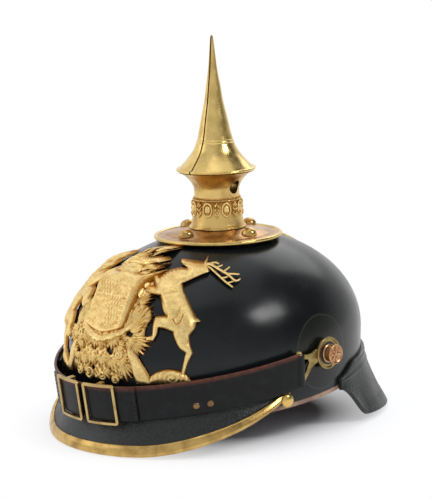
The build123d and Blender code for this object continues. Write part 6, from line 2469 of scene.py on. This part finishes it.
    def crest(self) -> list[Piece]:
        """The long feathers that sweep from the helm to the wearer's left under the disc."""
        feathers = (
            (
                (-9.0, 118.2), (-1.0, 122.9), (8.5, 124.2), 2.6, 4.6
            ), ((-8.0, 117.6), (1.0, 121.6), (9.5, 123.4), 2.4, 4.2),
            ((-6.5, 117.2), (0.0, 120.0), (5.0, 121.8), 2.4, 3.8), (
                (-11.5, 117.6), (-8.0, 121.6), (-1.0, 124.2), 2.4, 4.2
            ),
            ((-13.0, 117.0), (-13.0, 120.6), (-8.0, 123.0), 2.4, 3.8),
        )
        made = []
        for first, middle, last, width, lift in feathers:
            made.append(self.leaf(first, middle, width, lift, 1.2, 0.3))
            made.append(self.leaf(middle, last, width * 0.8, lift - 0.8, 1.0, 0.3))
        return made

    def mound(self, side: int) -> Piece:
        """The low mound under a supporter, with a curled furrow."""
        turns = np.linspace(0, pi, 30)
        middle, foot = side * -28.9, 46.6
        arc = np.stack([middle + 14.2 * np.cos(turns), foot + 9.6 * np.sin(turns)], axis=1)
        floor = smooth_line([arc[-1], arc[0]], 40)[1:-1]
        loop = np.concatenate([arc, floor])

        def form(across: np.ndarray, up: np.ndarray, distance: np.ndarray) -> np.ndarray:
            """Height of the mound, with its curled furrow."""
            away = np.hypot(across - middle - side * 2.0, up - foot - 4.0)
            turn = np.arctan2(up - foot - 4.0, across - middle)
            curl = np.sin(away * 2.2 - turn)
            return self.pillow(distance, 4.0, 2.6) + 0.3 * np.clip(distance / 1.5, 0, 1) * curl

        return relief("plate_mound", [loop], form, side * self.azimuth, 0.55)

    def ribbon(self, side: int) -> Piece:
        """A smooth plain ribbon end that falls outwards and widens."""
        outline = [(22.9, 71.0), (25.6, 72.2), (30.6, 65.8), (35.0, 59.2), (38.8, 52.0), (41.6, 46.2)]
        outline += [(36.6, 46.0), (31.8, 45.8), (29.6, 52.0), (26.8, 59.6)]
        points = np.array([(side * x, z) for x, z in outline])
        loop = np.concatenate(
            [smooth_line([a, b], 12)[:-1] for a, b in zip(points, np.roll(points, -1, axis=0))]
        )

        def form(across: np.ndarray, up: np.ndarray, distance: np.ndarray) -> np.ndarray:
            """Height of the ribbon, with a slow wave."""
            return self.pillow(distance, 2.6, 1.7) + 0.25 * np.sin((side * across * 0.5 + up) * 0.5)

        return relief("plate_ribbon", [loop], form, 0.0, 0.6)

    def swag(self) -> Piece:
        """The scalloped band that hangs round the shield's foot."""
        line = smooth_line(
            [
                (-21.5, 84.5), (-14.0, 78.2), (-5.0, 74.6), (2.0, 73.2), (9.0, 74.4), (18.0, 78.4),
                (25.5, 84.8),
            ], 70,
        )
        rows = []
        for (x, z), step, share in zip(line, directions(line), np.linspace(0, 1, len(line))):
            wave = 0.7 * abs(sin(pi * share * 9))
            half = 1.5 + wave * 0.6
            out = 3.6 + 1.5 * sin(pi * share) + wave * 0.5
            ring = []
            for turn, drop in ((-1, 0.9), (-0.6, 0.15), (0, 0.45), (0.6, 0.0), (1, 0.7)):
                ring.append((x - step[1] * half * turn, out - drop, z + step[0] * half * turn))
            ring += [
                (x - step[1] * half * 0.9, self.seat, z + step[0] * half * 0.9),
                (x + step[1] * half * 0.9, self.seat, z - step[0] * half * 0.9),
            ]
            rows.append(ring)
        made = sweep("plate_swag", np.array(rows))
        bend(made, 0.0)
        tidy_mesh(made, 0.001)
        return made

    def curls(self) -> list[Piece]:
        """Scroll ends at the plate's foot, each a rod rolled in a spiral."""
        made = []
        for x, z, size, way in (
            (-6.0, 50.4, 4.6, 1), (6.5, 49.6, 3.2, -1), (17.5, 48.0, 2.6, 1), (-17.5, 50.0, 3.0, -1),
            (-21.5, 74.0, 2.6, 1), (19.0, 64.0, 2.4, -1),
        ):
            turns = np.linspace(0.0, 1.6 * pi * 2, 15)
            points = [
                (x + way * size * (1 - t / 12.5) * cos(t + 2.0), z + size * (1 - t / 12.5) * sin(t + 2.0))
                for t in turns
            ]
            made.append(self.rod("plate_curl", points, (1.1, 0.8), (1.9, 3.0), 0.0))
        return made

    def flowers(self) -> list[Piece]:
        """Small daisies among the leaves."""
        made = []
        for x, z, size in (
            (1.0, 60.4, 3.4), (16.8, 57.0, 3.0), (-14.2, 60.0, 3.0), (-8.5, 72.0, 2.6), (20.8, 50.6, 2.4)
        ):
            for at in range(8):
                turn = pi / 4 * at + x
                tip = (x + size * cos(turn), z + size * sin(turn))
                made.append(self.leaf((x, z), tip, size * 0.55, 1.8, 1.0, 0.0))
        return made


@dataclass
class Studio:
    """White floor, lamps, surroundings and the camera that matches the photograph."""

    lamp_target: float = 0.1
    azimuth: float = 46.0
    elevation: float = 9.78
    roll: float = -1.9
    distance: float = 1.5
    focal_pixels: float = 2202.4
    frame_pixels: float = 499.0
    film: float = 36.0

    def build(self) -> None:
        """Sets everything round the helmet."""
        self.floor()
        self.surroundings()
        self.lamps()
        bpy.context.scene.view_settings.view_transform = "Standard"
        self.camera()

    def floor(self) -> None:
        """A matte floor that keeps the shadow close by and turns white further out."""
        floor = begin(bpy.ops.mesh.primitive_plane_add, size=8.0, location=(0, 0, -0.0002))
        floor.name = "studio_floor"
        made = bpy.data.materials.new("studio_floor")
        made.use_nodes = True
        made.node_tree.nodes.clear()
        add = partial(add_node, made.node_tree)
        place = add("TexCoord", {}).outputs["Object"]
        away = add("VectorMath", {"operation": "LENGTH", 0: place}).outputs["Value"]
        doubled = add("Math", {"operation": "MULTIPLY", 0: away, 1: 2.0})
        clear = add("ValToRGB", {"Fac": doubled, "stops": ((0.13, 0), (0.18, 0.4), (0.3, 1))})
        seen = self.shiny(add)
        camera = add("LightPath", {}).outputs["Is Camera Ray"]
        seen = add("Math", {"operation": "MAXIMUM", 0: seen, 1: camera})
        amount = add("Math", {"operation": "MULTIPLY", 0: seen, 1: clear})
        matte = add("BsdfDiffuse", {"Color": "#fbfbfd"})
        white = add("Emission", {"Color": "#ffffff", "Strength": 1.0})
        add("OutputMaterial", {"Surface": add("MixShader", {0: amount, 1: matte, 2: white})})
        floor.data.materials.append(made)

    @staticmethod
    def shiny(add: Adder) -> Node:
        """1 for rays that metal or glass has sent on."""
        path = add("LightPath", {}).outputs
        return add(
            "Math", {"operation": "MAXIMUM", 0: path["Is Glossy Ray"], 1: path["Is Transmission Ray"]}
        )

    def surroundings(self) -> None:
        """White for the camera, plain light for matte pieces and a half-dark room for the metal."""
        world = bpy.data.worlds.new("studio")
        bpy.context.scene.world = world
        world.use_nodes = True
        world.node_tree.nodes.clear()
        add = partial(add_node, world.node_tree)
        direction = add("TexCoord", {}).outputs["Generated"]
        shades = []
        for side, stops in (
            (BACKDROP, ((0, 0.7), (0.55, 0.7), (0.9, 1))),
            (DARK_SIDE, ((0.7, 1), (0.87, 0.55), (0.94, 0.12))),
        ):
            toward = add("VectorMath", {"operation": "DOT_PRODUCT", 0: direction, 1: side}).outputs["Value"]
            share = add("Math", {"operation": "MULTIPLY_ADD", 0: toward, 1: 0.5, 2: 0.5})
            shades.append(add("ValToRGB", {"Fac": share, "stops": stops}))
        shade = add("Math", {"operation": "MULTIPLY", 0: shades[0], 1: shades[1]})
        room = add("Background", {"Color": "#f4f6ff", "Strength": 0.8})
        mirrored = add("Background", {"Color": shade, "Strength": 1.0})
        bright = add("Background", {"Color": "#ffffff", "Strength": 1.0})
        lit = add("MixShader", {0: self.shiny(add), 1: room, 2: mirrored})
        camera = add("LightPath", {}).outputs["Is Camera Ray"]
        add("OutputWorld", {"Surface": add("MixShader", {0: camera, 1: lit, 2: bright})})

    def lamps(self) -> None:
        """Four soft boxes, each a place and a size in metres and a power in watts."""
        for name, place, size, power in (
            ("key_box", (1.05, 0.38, 1.0), (0.46, 0.34), 6.0),
            ("fill_box", (-1.2, -1.3, 0.9), (1.4, 1.4), 4.0),
            ("top_box", (0.1, 0.2, 1.9), (1.6, 1.6), 6.0),
            ("back_box", (-0.5, 1.45, 1.3), (1.2, 1.0), 6.0),
        ):
            lamp = bpy.data.lights.new(name, "AREA")
            lamp.shape, lamp.size, lamp.size_y, lamp.energy = "RECTANGLE", size[0], size[1], power
            shown = show(name, lamp)
            shown.location = place
            shown.rotation_mode = "QUATERNION"
            toward = Vector((0, 0, self.lamp_target)) - Vector(place)
            shown.rotation_quaternion = toward.to_track_quat("-Z", "Y")

    def camera(self) -> None:
        """The camera fitted to the photograph's outline."""
        azimuth, elevation, roll = (radians(a) for a in (self.azimuth, self.elevation, self.roll))
        level = cos(elevation)
        back = Vector((sin(azimuth) * level, -cos(azimuth) * level, sin(elevation)))
        right = Vector((cos(azimuth), sin(azimuth), 0))
        up = back.cross(right)
        tilted = right * cos(roll) + up * sin(roll)
        upright = up * cos(roll) - right * sin(roll)
        camera = show("photo_camera", bpy.data.cameras.new("photo_camera"))
        camera.data.lens = self.focal_pixels * self.film / self.frame_pixels
        camera.data.sensor_width = self.film
        camera.data.clip_start, camera.data.clip_end = 0.1, 20.0
        turn = Matrix((tilted, upright, back)).transposed().to_4x4()
        centre = Vector((0, -2.47, 115.64)) * MM
        camera.matrix_world = Matrix.Translation(centre + back * self.distance) @ turn
        bpy.context.scene.camera = camera


def main() -> None:
    """Builds every sub-assembly and reports each piece."""
    logging.basicConfig(level=logging.INFO, format="%(name)s %(message)s")
    for assembly in (
        Skull, Skirts, VisorTrim, SpikeStack, StrapSet, SideFittings, Inside, RearSpine, FrontPlate, Studio
    ):
        assembly().build()
        LOG.info("%s done", assembly.__name__)
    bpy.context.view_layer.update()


if __name__ == "__main__":
    main()
